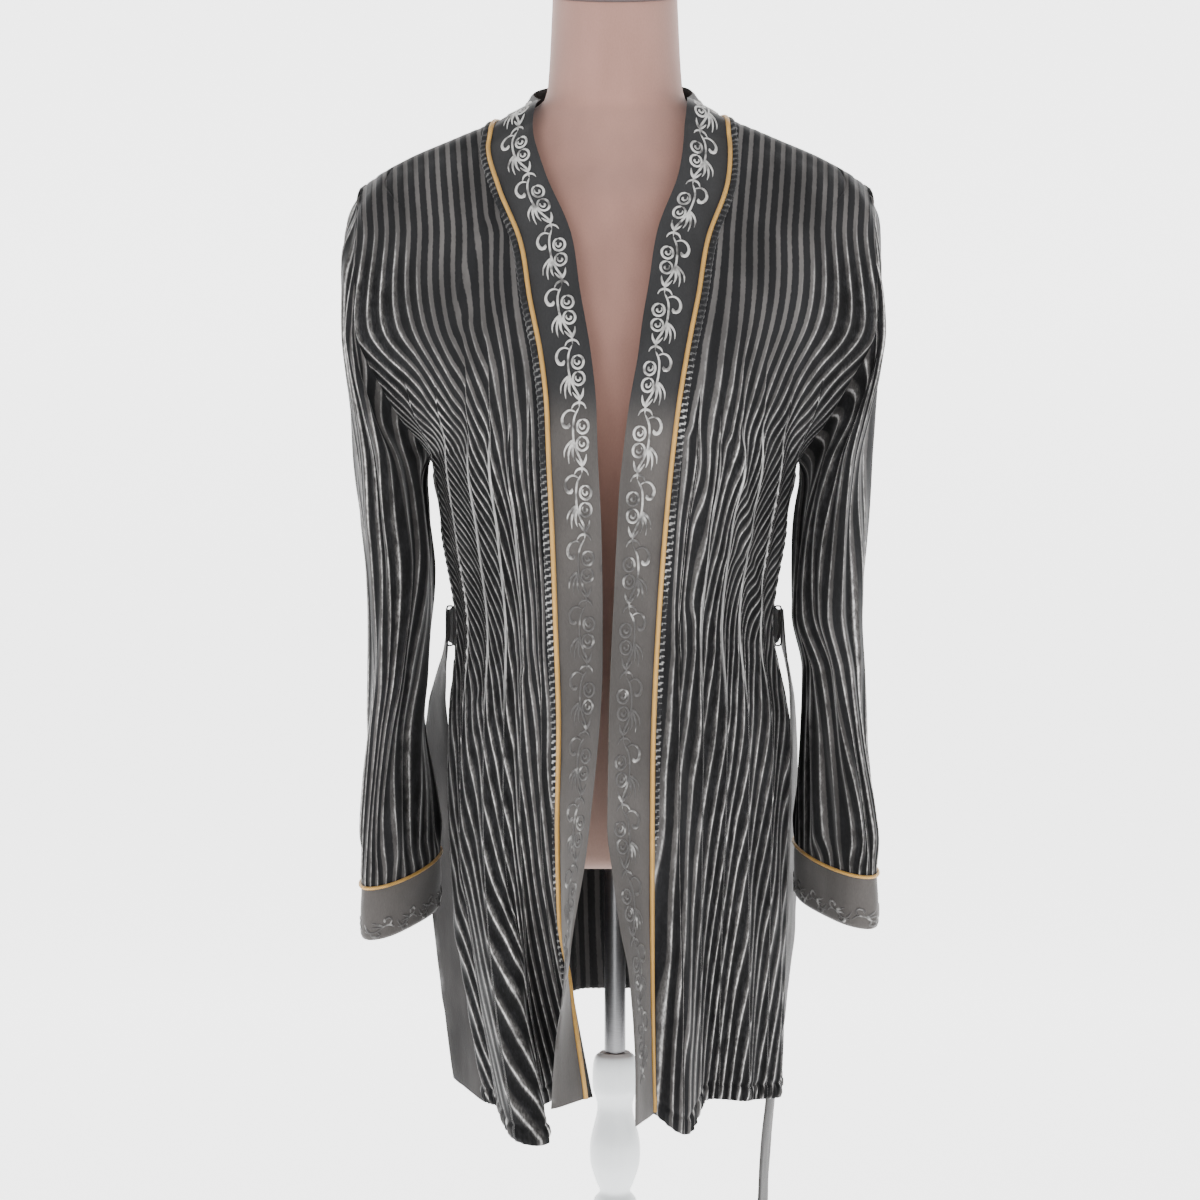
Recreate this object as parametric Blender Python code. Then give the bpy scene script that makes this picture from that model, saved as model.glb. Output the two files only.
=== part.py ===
"""Short ribbed velvet robe, open in front, hanging on a limbless dress form.

Metres, +Z up. The origin is the middle of the stand's underside. The front faces -Y,
and side -1 is the wearer's right, at negative X.
"""
import math
from collections import namedtuple

import bmesh
import bpy
import numpy as np

# Cloth
WALL = 0.0020
SEAM_GAP = 0.0004
RIB_RISE = 0.0012
ROUND = 2.3                  # exponent of the body's rounded sections

# Ribs across a front, across half of the back, and round a sleeve
FRONT_RIBS = 19
BACK_RIBS = 20
SLEEVE_RIBS = 27             # its columns meet the ends of the panels' armhole rows
INNER_STEP = {-1: 1, 1: 2}   # the rolled corner needs its inner points as close as its outer

# Shoulders and armholes
TIP_Z = 1.298
UNDERARM_Z = 1.070
ARMHOLE_MID = (TIP_Z + UNDERARM_Z) / 2
ARMHOLE_HALF = (TIP_Z - UNDERARM_Z) / 2
ARMHOLE_DEPTH = 0.070
SPREAD_Z = 1.27              # above this the columns turn to hang from the shoulder
STRAIGHT_Z = 1.30
ARMHOLE_ROWS = 9             # rows of a panel between the shoulder and the underarm
SKIRT_DROPS = (0, 0.13, 0.27, 0.42, 0.60, 0.80, 1)      # rows below it; one is at the waist
PANEL_ROWS = ARMHOLE_ROWS + len(SKIRT_DROPS) - 1
SLEEVE_ROWS = 7

Section = namedtuple("Section", "z right left front back")
BODY = [
    Section(1.364, 0.0800, 0.0800, 0.054, 0.066),
    Section(1.357, 0.0950, 0.0950, 0.056, 0.072),
    Section(1.339, 0.1360, 0.1360, 0.062, 0.081),
    Section(1.322, 0.1750, 0.1750, 0.069, 0.087),
    Section(1.308, 0.2000, 0.2000, 0.074, 0.091),
    Section(1.298, 0.2120, 0.2120, 0.079, 0.094),
    Section(1.277, 0.2130, 0.2130, 0.088, 0.099),
    Section(1.216, 0.2130, 0.2130, 0.112, 0.108),
    Section(1.170, 0.2120, 0.2120, 0.128, 0.111),
    Section(1.140, 0.2000, 0.1980, 0.136, 0.112),
    Section(1.100, 0.1780, 0.1760, 0.143, 0.112),
    Section(1.070, 0.1560, 0.1550, 0.145, 0.112),
    Section(1.020, 0.1470, 0.1450, 0.145, 0.112),
    Section(0.970, 0.1430, 0.1380, 0.143, 0.112),
    Section(0.925, 0.1335, 0.1320, 0.142, 0.115),
    Section(0.860, 0.1400, 0.1460, 0.143, 0.120),
    Section(0.800, 0.1405, 0.1460, 0.148, 0.128),
    Section(0.745, 0.1390, 0.1440, 0.153, 0.136),
    Section(0.690, 0.1330, 0.1420, 0.159, 0.143),
    Section(0.630, 0.1220, 0.1420, 0.166, 0.151),
    Section(0.580, 0.1130, 0.1400, 0.171, 0.157),
    Section(0.530, 0.1040, 0.1370, 0.176, 0.162),
]

# Band seam, and the step from it to the band's free edge; x counts outwards
Band = namedtuple("Band", "z seam run_x run_y run_z")
BAND = {
    -1: [
        Band(1.3555, 0.0980, -0.0350, 0.0040, 0.022),
        Band(1.3200, 0.0910, -0.0360, -0.0060, 0.017),
        Band(1.2770, 0.0820, -0.0370, -0.0100, 0.012),
        Band(1.2160, 0.0736, -0.0395, -0.0080, 0.009),
        Band(1.1580, 0.0620, -0.0385, -0.0100, 0.006),
        Band(1.1140, 0.0550, -0.0380, -0.0120, 0.004),
        Band(1.0470, 0.0520, -0.0380, -0.0140, 0.000),
        Band(0.9730, 0.0485, -0.0375, -0.0140, 0.000),
        Band(0.9030, 0.0464, -0.0350, -0.0180, 0.000),
        Band(0.8360, 0.0440, -0.0290, -0.0280, 0.000),
        Band(0.7770, 0.0455, -0.0235, -0.0340, 0.000),
        Band(0.7175, 0.0430, -0.0130, -0.0400, 0.000),
        Band(0.6610, 0.0445, -0.0010, -0.0420, 0.000),
        Band(0.6100, 0.0400, 0.0140, -0.0395, 0.000),
        Band(0.5450, 0.0300, 0.0280, -0.0290, 0.000),
    ],
    1: [
        Band(1.3592, 0.0900, -0.0285, 0.0040, 0.020),
        Band(1.3200, 0.0860, -0.0370, -0.0060, 0.014),
        Band(1.2770, 0.0800, -0.0390, -0.0080, 0.010),
        Band(1.2260, 0.0716, -0.0400, -0.0060, 0.008),
        Band(1.1770, 0.0625, -0.0395, -0.0060, 0.006),
        Band(1.1310, 0.0530, -0.0370, -0.0150, 0.004),
        Band(1.0940, 0.0474, -0.0380, -0.0120, 0.002),
        Band(1.0470, 0.0420, -0.0385, -0.0110, 0.000),
        Band(0.9945, 0.0370, -0.0365, -0.0160, 0.000),
        Band(0.9420, 0.0330, -0.0350, -0.0190, 0.000),
        Band(0.8360, 0.0280, -0.0340, -0.0210, 0.000),
        Band(0.7770, 0.0270, -0.0340, -0.0210, 0.000),
        Band(0.7390, 0.0275, -0.0290, -0.0275, 0.000),
        Band(0.7030, 0.0290, -0.0235, -0.0320, 0.000),
        Band(0.6660, 0.0260, -0.0160, -0.0365, 0.000),
        Band(0.6280, 0.0300, -0.0135, -0.0375, 0.000),
        Band(0.5450, 0.0274, -0.0135, -0.0375, 0.000),
    ],
}
NECK_SHARE = 0.40            # share of the back under the neckline
NECK_BACK_Z = 1.360
NECK_BAND_RISE = (0.0, -0.005, 0.046)      # the band's run at the middle of the back

# Hem height along each panel, by its share from the band seam or the middle of the back
Hem = namedtuple("Hem", "share z")
HEM = {
    "front_right": [Hem(0.00, 0.561), Hem(0.10, 0.560), Hem(0.34, 0.536), Hem(0.50, 0.542),
                    Hem(1.00, 0.544)],
    "front_left": [Hem(0.00, 0.558), Hem(0.10, 0.545), Hem(0.25, 0.562), Hem(0.60, 0.552),
                   Hem(1.00, 0.544)],
    "back": [Hem(0.00, 0.590), Hem(0.55, 0.580), Hem(1.00, 0.544)],
}

# Soft folds in the skirt: share where each runs, its half width and its rise at the hem
Fold = namedtuple("Fold", "share width rise top")
FOLDS = {
    "front_right": [Fold(0.72, 0.06, 0.007, 0.86), Fold(0.60, 0.04, -0.004, 0.80)],
    "front_left": [Fold(0.10, 0.07, 0.018, 0.82), Fold(0.25, 0.07, -0.008, 0.80),
                   Fold(0.40, 0.06, 0.006, 0.84), Fold(0.66, 0.07, 0.008, 0.86)],
    "back": [Fold(0.12, 0.06, 0.008, 0.84), Fold(0.38, 0.07, 0.010, 0.86),
             Fold(0.62, 0.06, 0.008, 0.84), Fold(0.84, 0.05, 0.006, 0.82)],
}

# The front corner at the wearer's right rolls over at the hem: place of each share there
Corner = namedtuple("Corner", "share x y")
CORNER_TOP = 0.80
CORNER_END = 0.62
CORNER = [
    Corner(0.000, -0.026, -0.140),
    Corner(0.024, -0.020, -0.134),
    Corner(0.050, -0.023, -0.126),
    Corner(0.120, -0.042, -0.126),
    Corner(0.180, -0.058, -0.137),
    Corner(0.235, -0.061, -0.155),
    Corner(0.280, -0.053, -0.168),
    Corner(0.310, -0.052, -0.178),
    Corner(0.350, -0.062, -0.184),
    Corner(0.400, -0.076, -0.177),
    Corner(0.460, -0.084, -0.158),
    Corner(0.530, -0.091, -0.125),
    Corner(0.620, -0.098, -0.090),
]

# Sleeves: outer and inner side, middle and half depth front to back, and turn of the section
Sleeve = namedtuple("Sleeve", "z outer inner middle depth turn")
SLEEVE = {
    -1: [
        Sleeve(1.300, 0.2170, 0.2110, 0.000, 0.070, 0),
        Sleeve(1.280, 0.2220, 0.2110, 0.000, 0.070, 0),
        Sleeve(1.237, 0.2250, 0.2110, 0.000, 0.071, 0),
        Sleeve(1.170, 0.2240, 0.2110, -0.001, 0.073, 0),
        Sleeve(1.140, 0.2230, 0.2025, -0.002, 0.074, 0),
        Sleeve(1.100, 0.2200, 0.1840, -0.004, 0.076, 0),
        Sleeve(1.060, 0.2170, 0.1650, -0.007, 0.077, 0),
        Sleeve(1.020, 0.2130, 0.1590, -0.010, 0.077, 0),
        Sleeve(0.975, 0.2070, 0.1550, -0.014, 0.076, 0),
        Sleeve(0.890, 0.2020, 0.1600, -0.023, 0.073, 2),
        Sleeve(0.840, 0.2005, 0.1640, -0.028, 0.071, 6),
        Sleeve(0.780, 0.1985, 0.1600, -0.035, 0.067, 14),
        Sleeve(0.730, 0.1975, 0.1560, -0.041, 0.062, 20),
        Sleeve(0.670, 0.1970, 0.1545, -0.047, 0.056, 24),
    ],
    1: [
        Sleeve(1.300, 0.2155, 0.2110, 0.000, 0.070, 0),
        Sleeve(1.280, 0.2180, 0.2110, 0.000, 0.070, 0),
        Sleeve(1.230, 0.2200, 0.2110, 0.000, 0.071, 0),
        Sleeve(1.170, 0.2190, 0.2110, -0.001, 0.073, 0),
        Sleeve(1.137, 0.2175, 0.2020, -0.002, 0.074, 0),
        Sleeve(1.100, 0.2150, 0.1830, -0.004, 0.076, 0),
        Sleeve(1.060, 0.2120, 0.1640, -0.007, 0.077, 0),
        Sleeve(1.000, 0.2090, 0.1530, -0.011, 0.076, 0),
        Sleeve(0.940, 0.2060, 0.1500, -0.017, 0.074, 0),
        Sleeve(0.890, 0.2050, 0.1610, -0.023, 0.072, 2),
        Sleeve(0.840, 0.2045, 0.1620, -0.028, 0.070, 6),
        Sleeve(0.780, 0.2040, 0.1610, -0.035, 0.067, 14),
        Sleeve(0.730, 0.2040, 0.1590, -0.041, 0.062, 20),
        Sleeve(0.670, 0.2040, 0.1580, -0.047, 0.057, 24),
    ],
}
CUFF_TOP = {-1: 0.729, 1: 0.738}
CUFF_SLANT = 0.16            # rise of the sleeve's end per metre towards the back
CUFF_HEIGHT = 0.042

PIPING_RADIUS = 0.0019
PIPING_LIFT = PIPING_RADIUS + 0.0013     # its middle, off the seam
CUFF_PIPING_LIFT = PIPING_RADIUS + 0.0008

# Tie belt
BELT_Z = 0.928
BELT_WIDTH = 0.042
BELT_WALL = 0.0024
BELT_STANDOFF = 0.0078       # from the body's surface to the middle of the belt, at its ends
BELT_BACK_SLACK = 0.0038     # further off the ribs across the back
LOOP_WALL = 0.0014
LOOP_ROOM = 0.0018            # from the middle of the belt to the loop, inside
LOOP_HEIGHT = 0.034
LOOP_LENGTH = 0.007
Fall = namedtuple("Fall", "z x y width turn")
FALL = {
    -1: [
        Fall(0.942, 0.1442, 0.030, 0.024, 92),
        Fall(0.915, 0.1465, 0.036, 0.030, 84),
        Fall(0.860, 0.1550, 0.052, 0.036, 60),
        Fall(0.800, 0.1565, 0.057, 0.041, 46),
        Fall(0.740, 0.1535, 0.058, 0.042, 44),
        Fall(0.680, 0.1470, 0.058, 0.042, 43),
        Fall(0.570, 0.1340, 0.056, 0.042, 44),
        Fall(0.520, 0.1280, 0.055, 0.042, 45),
    ],
    1: [
        Fall(0.942, 0.1426, 0.030, 0.024, 92),
        Fall(0.915, 0.1455, 0.038, 0.030, 90),
        Fall(0.860, 0.1560, 0.062, 0.036, 80),
        Fall(0.800, 0.1580, 0.070, 0.040, 76),
        Fall(0.680, 0.1570, 0.082, 0.042, 72),
        Fall(0.560, 0.1460, 0.092, 0.042, 72),
        Fall(0.440, 0.1340, 0.092, 0.042, 72),
        Fall(0.310, 0.1290, 0.090, 0.042, 72),
    ],
}
FALL_SLANT = 0.014           # height of the slanted cut at a belt's end

# Dress form: its shoulders follow the robe's, lower by the wall and a small clearance
FORM_DROP = 0.0036
FORM_INSET = 0.0034
FORM_SHOULDER = 0.188
FORM_SHOULDER_ROUND = 1.75
Form = namedtuple("Form", "z half front back round", defaults=(ROUND,))
FORM_TORSO = [
    Form(0.734, 0.120, 0.096, 0.098),
    Form(0.742, 0.132, 0.106, 0.108),
    Form(0.785, 0.136, 0.112, 0.112),
    Form(0.860, 0.128, 0.107, 0.104),
    Form(0.925, 0.1165, 0.101, 0.098),
    Form(0.980, 0.1200, 0.109, 0.097),
    Form(1.045, 0.1310, 0.121, 0.099),
    Form(1.110, 0.1410, 0.126, 0.101),
    Form(1.160, 0.1520, 0.117, 0.101),
    Form(1.210, 0.1700, 0.101, 0.099),
    Form(1.250, 0.1830, 0.088, 0.096),
]
FORM_NECK = [
    Form(1.366, 0.0690, 0.0530, 0.0640, 1.8),
    Form(1.373, 0.0605, 0.0535, 0.0605, 1.9),
    Form(1.386, 0.0570, 0.0535, 0.0590, 2.0),
    Form(1.450, 0.0535, 0.0535, 0.0570, 2.0),
]
FORM_AROUND = 32
NECK_TOP_SLOPE = 0.38        # the neck's top leans down towards the front
NECK_TOP_Z = 1.4625
CAP_HEIGHT = 0.012

ROD_RADIUS = 0.009
ROD_TOP = 0.7337
COLLAR_TOP = 0.566
BASE_RADIUS = 0.190
BASE_HEIGHT = 0.024
Turned = namedtuple("Turned", "radius z")
POST = [
    Turned(0.0125, 0.566), Turned(0.0170, 0.562), Turned(0.0190, 0.552), Turned(0.0190, 0.536),
    Turned(0.0165, 0.528), Turned(0.0150, 0.520), Turned(0.0165, 0.510), Turned(0.0205, 0.494),
    Turned(0.0215, 0.482), Turned(0.0205, 0.470), Turned(0.0160, 0.456), Turned(0.0130, 0.448),
    Turned(0.0175, 0.442), Turned(0.0185, 0.436), Turned(0.0150, 0.429), Turned(0.0165, 0.380),
    Turned(0.0190, 0.300), Turned(0.0205, 0.200), Turned(0.0200, 0.130), Turned(0.0165, 0.098),
    Turned(0.0230, 0.090), Turned(0.0245, 0.082), Turned(0.0220, 0.074), Turned(0.0300, 0.052),
    Turned(0.0460, 0.036), Turned(0.0500, 0.0243),
]

Finish = namedtuple("Finish", "name color roughness metallic")
RIBBED = Finish("ribbed velvet", (0.075, 0.074, 0.076, 1), 0.75, 0.0)
PLAIN = Finish("plain velvet", (0.135, 0.130, 0.128, 1), 0.80, 0.0)
GOLD = Finish("gold piping", (0.66, 0.40, 0.10, 1), 0.45, 0.3)
COVER = Finish("form cover", (0.39, 0.23, 0.19, 1), 0.90, 0.0)
CAP = Finish("neck cap", (0.05, 0.02, 0.02, 1), 0.40, 0.0)
STEEL = Finish("brushed steel", (0.20, 0.20, 0.21, 1), 0.35, 1.0)
PAINT = Finish("white paint", (0.76, 0.79, 0.80, 1), 0.40, 0.0)

SIDE_NAME = {-1: "right", 1: "left"}


class Profile:
    """One table column as a smooth function of another, by monotone cubic pieces."""

    def __init__(self, rows, key, value):
        pairs = sorted((getattr(row, key), getattr(row, value)) for row in rows)
        self.keys, self.values = np.array(pairs).T
        rise = np.diff(self.values) / np.diff(self.keys)
        self.slopes = np.concatenate([rise[:1], np.zeros(len(rise) - 1), rise[-1:]])
        same = rise[1:] * rise[:-1] > 0
        harmonic = 2 * rise[1:] * rise[:-1] / np.where(same, rise[1:] + rise[:-1], 1)
        self.slopes[1:-1] = np.where(same, harmonic, 0)

    def __call__(self, at):
        at = np.clip(at, self.keys[0], self.keys[-1])
        low = np.clip(np.searchsorted(self.keys, at, side="right") - 1, 0, len(self.keys) - 2)
        width = self.keys[low + 1] - self.keys[low]
        s = (at - self.keys[low]) / width
        hold = (1 + 2 * s) * (1 - s) ** 2 * self.values[low]
        reach = s * s * (3 - 2 * s) * self.values[low + 1]
        bend = s * (1 - s) ** 2 * self.slopes[low] - s * s * (1 - s) * self.slopes[low + 1]
        return hold + reach + bend * width


HALF = {-1: Profile(BODY, "z", "right"), 1: Profile(BODY, "z", "left")}
DEPTH = {-1: Profile(BODY, "z", "front"), 1: Profile(BODY, "z", "back")}
SEAM = {side: Profile(rows, "z", "seam") for side, rows in BAND.items()}
RUN = {side: [Profile(rows, "z", axis) for axis in ("run_x", "run_y", "run_z")]
       for side, rows in BAND.items()}
NECK_Z = {side: rows[0].z for side, rows in BAND.items()}


def ease(s):
    """Smooth step from 0 to 1."""
    s = np.clip(s, 0, 1)
    return s * s * (3 - 2 * s)


def unit(vectors):
    """Vectors of length one."""
    return vectors / np.maximum(np.linalg.norm(vectors, axis=-1, keepdims=True), 1e-12)


def flatness(z):
    """How flat the body's section is beside the armhole, 0 away from it and 1 halfway down."""
    return np.clip(1 - ((z - ARMHOLE_MID) / ARMHOLE_HALF) ** 2, 0, None)


def armhole_depth(z):
    """How far the armhole's edge stands off the side, front to back."""
    return ARMHOLE_DEPTH * np.sqrt(flatness(z))


def body_point(side, face, across, z):
    """A point of the body: across runs from 0 in the middle to 1 at the side."""
    hole = armhole_depth(z)
    power = 1 / ROUND + (1 - 1 / ROUND) * flatness(z)
    reach = np.clip(1 - across ** ROUND, 0, None) ** power
    y = face * (hole + (DEPTH[face](z) - hole) * reach)
    return np.stack([side * HALF[side](z) * across, y, z + 0 * y], axis=-1)


def ridge_z(side, x):
    """Height of the shoulder line above a distance from the middle."""
    heights = np.linspace(NECK_Z[side] + 0.004, TIP_Z, 900)
    return np.interp(x, HALF[side](heights), heights)


def panel_z(side, share, row, hem):
    """Height on a panel: the rows crowd at the shoulder tip and at the underarm."""
    neck_x = HALF[side](NECK_Z[side])
    top = ridge_z(side, neck_x + (HALF[side](TIP_Z) - neck_x) * share)
    top = np.where(share <= 0, NECK_Z[side], np.where(share >= 1, TIP_Z, top))
    turn = np.clip(row / ARMHOLE_ROWS, 0, 1)
    upper = top + (UNDERARM_Z - top) * (1 - np.cos(np.pi * turn)) / 2
    skirt = np.interp(row - ARMHOLE_ROWS, np.arange(len(SKIRT_DROPS)), SKIRT_DROPS)
    lower = UNDERARM_Z + (hem - UNDERARM_Z) * skirt
    return np.where(row <= ARMHOLE_ROWS, upper, lower)


def shoulder_part(side, share, z, start):
    """Share of a section's width: straight down from the shoulder, then evenly spread."""
    neck_x = HALF[side](NECK_Z[side])
    tip_x = HALF[side](TIP_Z)
    ridge_x = neck_x + (tip_x - neck_x) * share
    half = HALF[side](z)
    straight = np.clip((ridge_x - start) / np.maximum(half - start, 1e-6), 0, 1)
    return share + (straight - share) * ease((z - SPREAD_Z) / (STRAIGHT_Z - SPREAD_Z))


def spread(first, part, z):
    """Even spread of the columns between a section's first column and its edge."""
    start = np.arcsin(np.clip(first, 0, 1) ** (ROUND / 2))
    angle = start + (np.pi / 2 - start) * part
    flat = flatness(z)
    even = first + (1 - first) * part
    return np.minimum((1 - flat) * np.sin(angle) ** (2 / ROUND) + flat * even, 1)


def folds(panel, share, z, hem):
    """Rise of the skirt's soft folds."""
    rise = 0 * z
    for fold in FOLDS[panel]:
        grow = ease((fold.top - z) / (fold.top - hem))
        rise = rise + fold.rise * grow * np.exp(-((share - fold.share) / fold.width) ** 2)
    return rise


def front_base(side, share, z):
    """The front before its folds and its rolled corner."""
    first = np.minimum(SEAM[side](z) / HALF[side](z), 1)
    part = shoulder_part(side, share, z, SEAM[side](z))
    return body_point(side, -1, spread(first, part, z), z)


def front_point(side, share, row):
    """A point of a front panel: share from the band seam, row from the shoulder."""
    panel = "front_" + SIDE_NAME[side]
    hem = Profile(HEM[panel], "share", "z")(share)
    z = panel_z(side, share, row, hem)
    point = front_base(side, share, z)
    away = unit(point * [1, 1, 0])
    point = point + away * folds(panel, share, z, hem)[..., None]
    if side == -1:
        rolled = [Profile(CORNER, "share", axis)(share) for axis in ("x", "y")]
        flat = front_base(side, share, hem)
        keep = 1 - ease((share - CORNER_END + 0.14) / 0.14)
        grow = keep * ease((CORNER_TOP - z) / (CORNER_TOP - hem))
        for axis in (0, 1):
            point[..., axis] += grow * (rolled[axis] - flat[..., axis])
    return point


def back_point(share, row):
    """A point of the back: share runs from -1 at one side seam to 1 at the other."""
    halves = []
    for side in (-1, 1):
        part = np.abs(share)
        over = np.clip((part - NECK_SHARE) / (1 - NECK_SHARE), 0, 1)
        hem = Profile(HEM["back"], "share", "z")(part)
        z = panel_z(side, over, row, hem)
        neck_z = NECK_Z[side] + (NECK_BACK_Z - NECK_Z[side]) * ease(1 - part / NECK_SHARE)
        drop = (NECK_Z[side] - z) / (NECK_Z[side] - UNDERARM_Z)
        z = np.where(part < NECK_SHARE, z + (neck_z - NECK_Z[side]) * np.clip(1 - drop, 0, 1), z)
        hang = shoulder_part(side, over, z, 0 * z)
        even = np.where(part < NECK_SHARE, part / NECK_SHARE * shoulder_part(side, 0 * z, z, 0 * z),
                        hang)
        high = ease((z - SPREAD_Z) / (STRAIGHT_Z - SPREAD_Z))
        across = spread(0 * z, part + (even - part) * high, z)
        point = body_point(side, 1, across, z)
        rise = folds("back", part, z, hem)
        halves.append(point + unit(point * [1, 1, 0]) * rise[..., None])
    return np.where((share < 0)[..., None], halves[0], halves[1])


def sleeve_section(side, angle, z):
    """A hanging sleeve's section: angle 0 is its outer side and 90 degrees its front."""
    outer, inner, middle, depth, turn = (
        Profile(SLEEVE[side], "z", name)(z) for name in Sleeve._fields[1:])
    thick = (outer - inner) / 2 * np.cos(angle)
    deep = -depth * np.sin(angle)
    turn = np.radians(turn)
    x = (outer + inner) / 2 + thick * np.cos(turn) - deep * np.sin(turn)
    y = middle + deep * np.cos(turn) + thick * np.sin(turn)
    return np.stack([side * x, y], axis=-1)


def sleeve_point(side, angle, drop, loop):
    """A point of a sleeve, from its place on the armhole loop down to the cuff seam."""
    end = CUFF_TOP[side] - CUFF_SLANT * Profile(SLEEVE[side], "z", "depth")(0.72) * np.sin(angle)
    z = loop[..., 2] + (end - loop[..., 2]) * drop ** 1.45
    reach = 0.032 + 0.028 * np.sin(angle) ** 2
    settle = 1 - (1 - np.clip((loop[..., 2] - z) / reach, 0, 1)) ** 2
    across = loop[..., :2] + (sleeve_section(side, angle, z) - loop[..., :2]) * settle[..., None]
    return np.concatenate([across, z[..., None]], axis=-1)


def armhole_way(side, angle):
    """The way a wall's edge faces along the armhole seam."""
    out = side * 0.50 * np.clip(np.cos(angle), 0, 1) ** 4
    return unit(np.stack([out, -np.sin(angle), np.cos(angle)], axis=-1))


def grid_ways(points, ring=False):
    """The outward way at each point of a grid, from its neighbours."""
    if ring:
        around = np.concatenate([points[:, -1:], points, points[:, :1]], axis=1)
        along = np.gradient(around, axis=1)[:, 1:-1]
    else:
        along = np.gradient(points, axis=1)
    return unit(np.cross(np.gradient(points, axis=0), along))


def edge_step(edge, near, ways):
    """Half a seam gap from an edge into its own grid, square to the edge."""
    step = unit(np.cross(ways, np.gradient(edge, axis=0)))
    return step * np.sign(np.sum(step * (near - edge), axis=-1, keepdims=True)) * SEAM_GAP / 2


def draw_in(points, ways, ring=False):
    """Moves a grid's edges back by half a seam gap."""
    moved = points.copy()
    for end, near in ((0, 1), (-1, -2)):
        moved[end] += edge_step(points[end], points[near], ways[end])
        if not ring:
            moved[:, end] += edge_step(points[:, end], points[:, near], ways[:, end])
    return moved


def ribbed(points, ways):
    """Every second column raised as a rib, short of the edges."""
    raised = points.copy()
    raised[1:-1, 3:-3:2] += ways[1:-1, 3:-3:2] * RIB_RISE
    return raised


def new_object(name, mesh_bm, finish):
    """Links a bmesh as a named object with its material."""
    bmesh.ops.recalc_face_normals(mesh_bm, faces=mesh_bm.faces)
    mesh = bpy.data.meshes.new(name)
    mesh_bm.to_mesh(mesh)
    mesh_bm.free()
    mesh.shade_smooth()
    mesh.set_sharp_from_angle(angle=math.radians(50))
    mesh.materials.append(material(finish))
    made = bpy.data.objects.new(name, mesh)
    bpy.context.scene.collection.objects.link(made)
    return made


def material(finish):
    """The Principled material of a finish, made once."""
    known = bpy.data.materials.get(finish.name)
    if known:
        return known
    made = bpy.data.materials.new(finish.name)
    made.use_nodes = True
    shader = made.node_tree.nodes["Principled BSDF"]
    shader.inputs["Base Color"].default_value = finish.color
    shader.inputs["Roughness"].default_value = finish.roughness
    shader.inputs["Metallic"].default_value = finish.metallic
    return made


def wall(name, outer, base, ways, finish, ring=False, step=1, thick=WALL):
    """A closed wall: the outer grid, a plain inner grid behind it, and its rims."""
    inner = base[:, ::step] - ways[:, ::step] * thick
    bm = bmesh.new()
    skin = [[bm.verts.new(point) for point in row] for row in outer]
    lining = [[bm.verts.new(point) for point in row] for row in inner]
    rows = len(skin)
    for grid in (skin, lining):
        count = len(grid[0])
        for row in range(rows - 1):
            for column in range(count if ring else count - 1):
                near, far = column, (column + 1) % count
                bm.faces.new((grid[row][near], grid[row][far],
                              grid[row + 1][far], grid[row + 1][near]))
    columns = len(lining[0])
    for row in (0, rows - 1):
        for column in range(columns if ring else columns - 1):
            edge = [skin[row][(column * step + part) % len(skin[0])] for part in range(step + 1)]
            bm.faces.new(edge + [lining[row][(column + 1) % columns], lining[row][column]])
    if not ring:
        for column in (0, -1):
            for row in range(rows - 1):
                bm.faces.new((skin[row][column], skin[row + 1][column],
                              lining[row + 1][column], lining[row][column]))
    bmesh.ops.triangulate(bm, faces=bm.faces)
    return new_object(name, bm, finish)


def tube(name, points, radius, finish, closed=False):
    """A round piping along points."""
    curve = bpy.data.curves.new(name, "CURVE")
    curve.dimensions = "3D"
    curve.bevel_depth = radius
    curve.bevel_resolution = 0
    curve.use_fill_caps = not closed
    spline = curve.splines.new("POLY")
    spline.points.add(len(points) - 1)
    for target, point in zip(spline.points, points):
        target.co = (*point, 1)
    spline.use_cyclic_u = closed
    curve.materials.append(material(finish))
    made = bpy.data.objects.new(name, curve)
    bpy.context.scene.collection.objects.link(made)
    return made


def revolved(name, profile, finish, around):
    """A turned piece from its profile, top to bottom."""
    bm = bmesh.new()
    verts = [bm.verts.new((point.radius, 0, point.z)) for point in profile]
    ends = [bm.verts.new((0, 0, profile[0].z)), bm.verts.new((0, 0, profile[-1].z))]
    chain = [ends[0], *verts, ends[1]]
    edges = [bm.edges.new(pair) for pair in zip(chain, chain[1:])]
    bmesh.ops.spin(bm, geom=edges + chain, cent=(0, 0, 0), axis=(0, 0, 1),
                   angle=2 * math.pi, steps=around, use_merge=True)
    bmesh.ops.remove_doubles(bm, verts=bm.verts, dist=1e-6)
    return new_object(name, bm, finish)


def front_grid(side):
    """A front panel's points, and the ways of its wall."""
    share, row = np.meshgrid(np.linspace(0, 1, 2 * FRONT_RIBS + 1), np.arange(PANEL_ROWS + 1))
    points = front_point(side, share, row)
    return points, grid_ways(points) * side


def band_grid(side, seam, panel_ways):
    """The band from the front's seam edge to its free edge, and its ways."""
    run = np.stack([profile(seam[:, 2]) for profile in RUN[side]], axis=-1) * [side, 1, 1]
    band = seam[:, None] + run[:, None] * np.linspace(0, 1, 3)[None, :, None]
    ways = grid_ways(band) * -side
    ways[:, 0] = unit(panel_ways + ways[:, 0])
    ways[0] = shoulder_way(side)
    return band, ways


def shoulder_way(side):
    """The way the wall's edge faces along the shoulder seam."""
    return unit(np.array([side * 0.50, 0.0, 1.0]))


def set_edges(side, points, ways):
    """Gives a panel's shoulder, armhole and side edges the ways that its neighbours use."""
    ways[:, -1] = (side, 0, 0)
    turn = armhole_turn(points[:ARMHOLE_ROWS + 1, -1, 2])
    ways[:ARMHOLE_ROWS + 1, -1] = armhole_way(side, turn)
    ways[:ARMHOLE_ROWS + 1, -1, 1] *= -np.sign(points[1, -1, 1])


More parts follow.
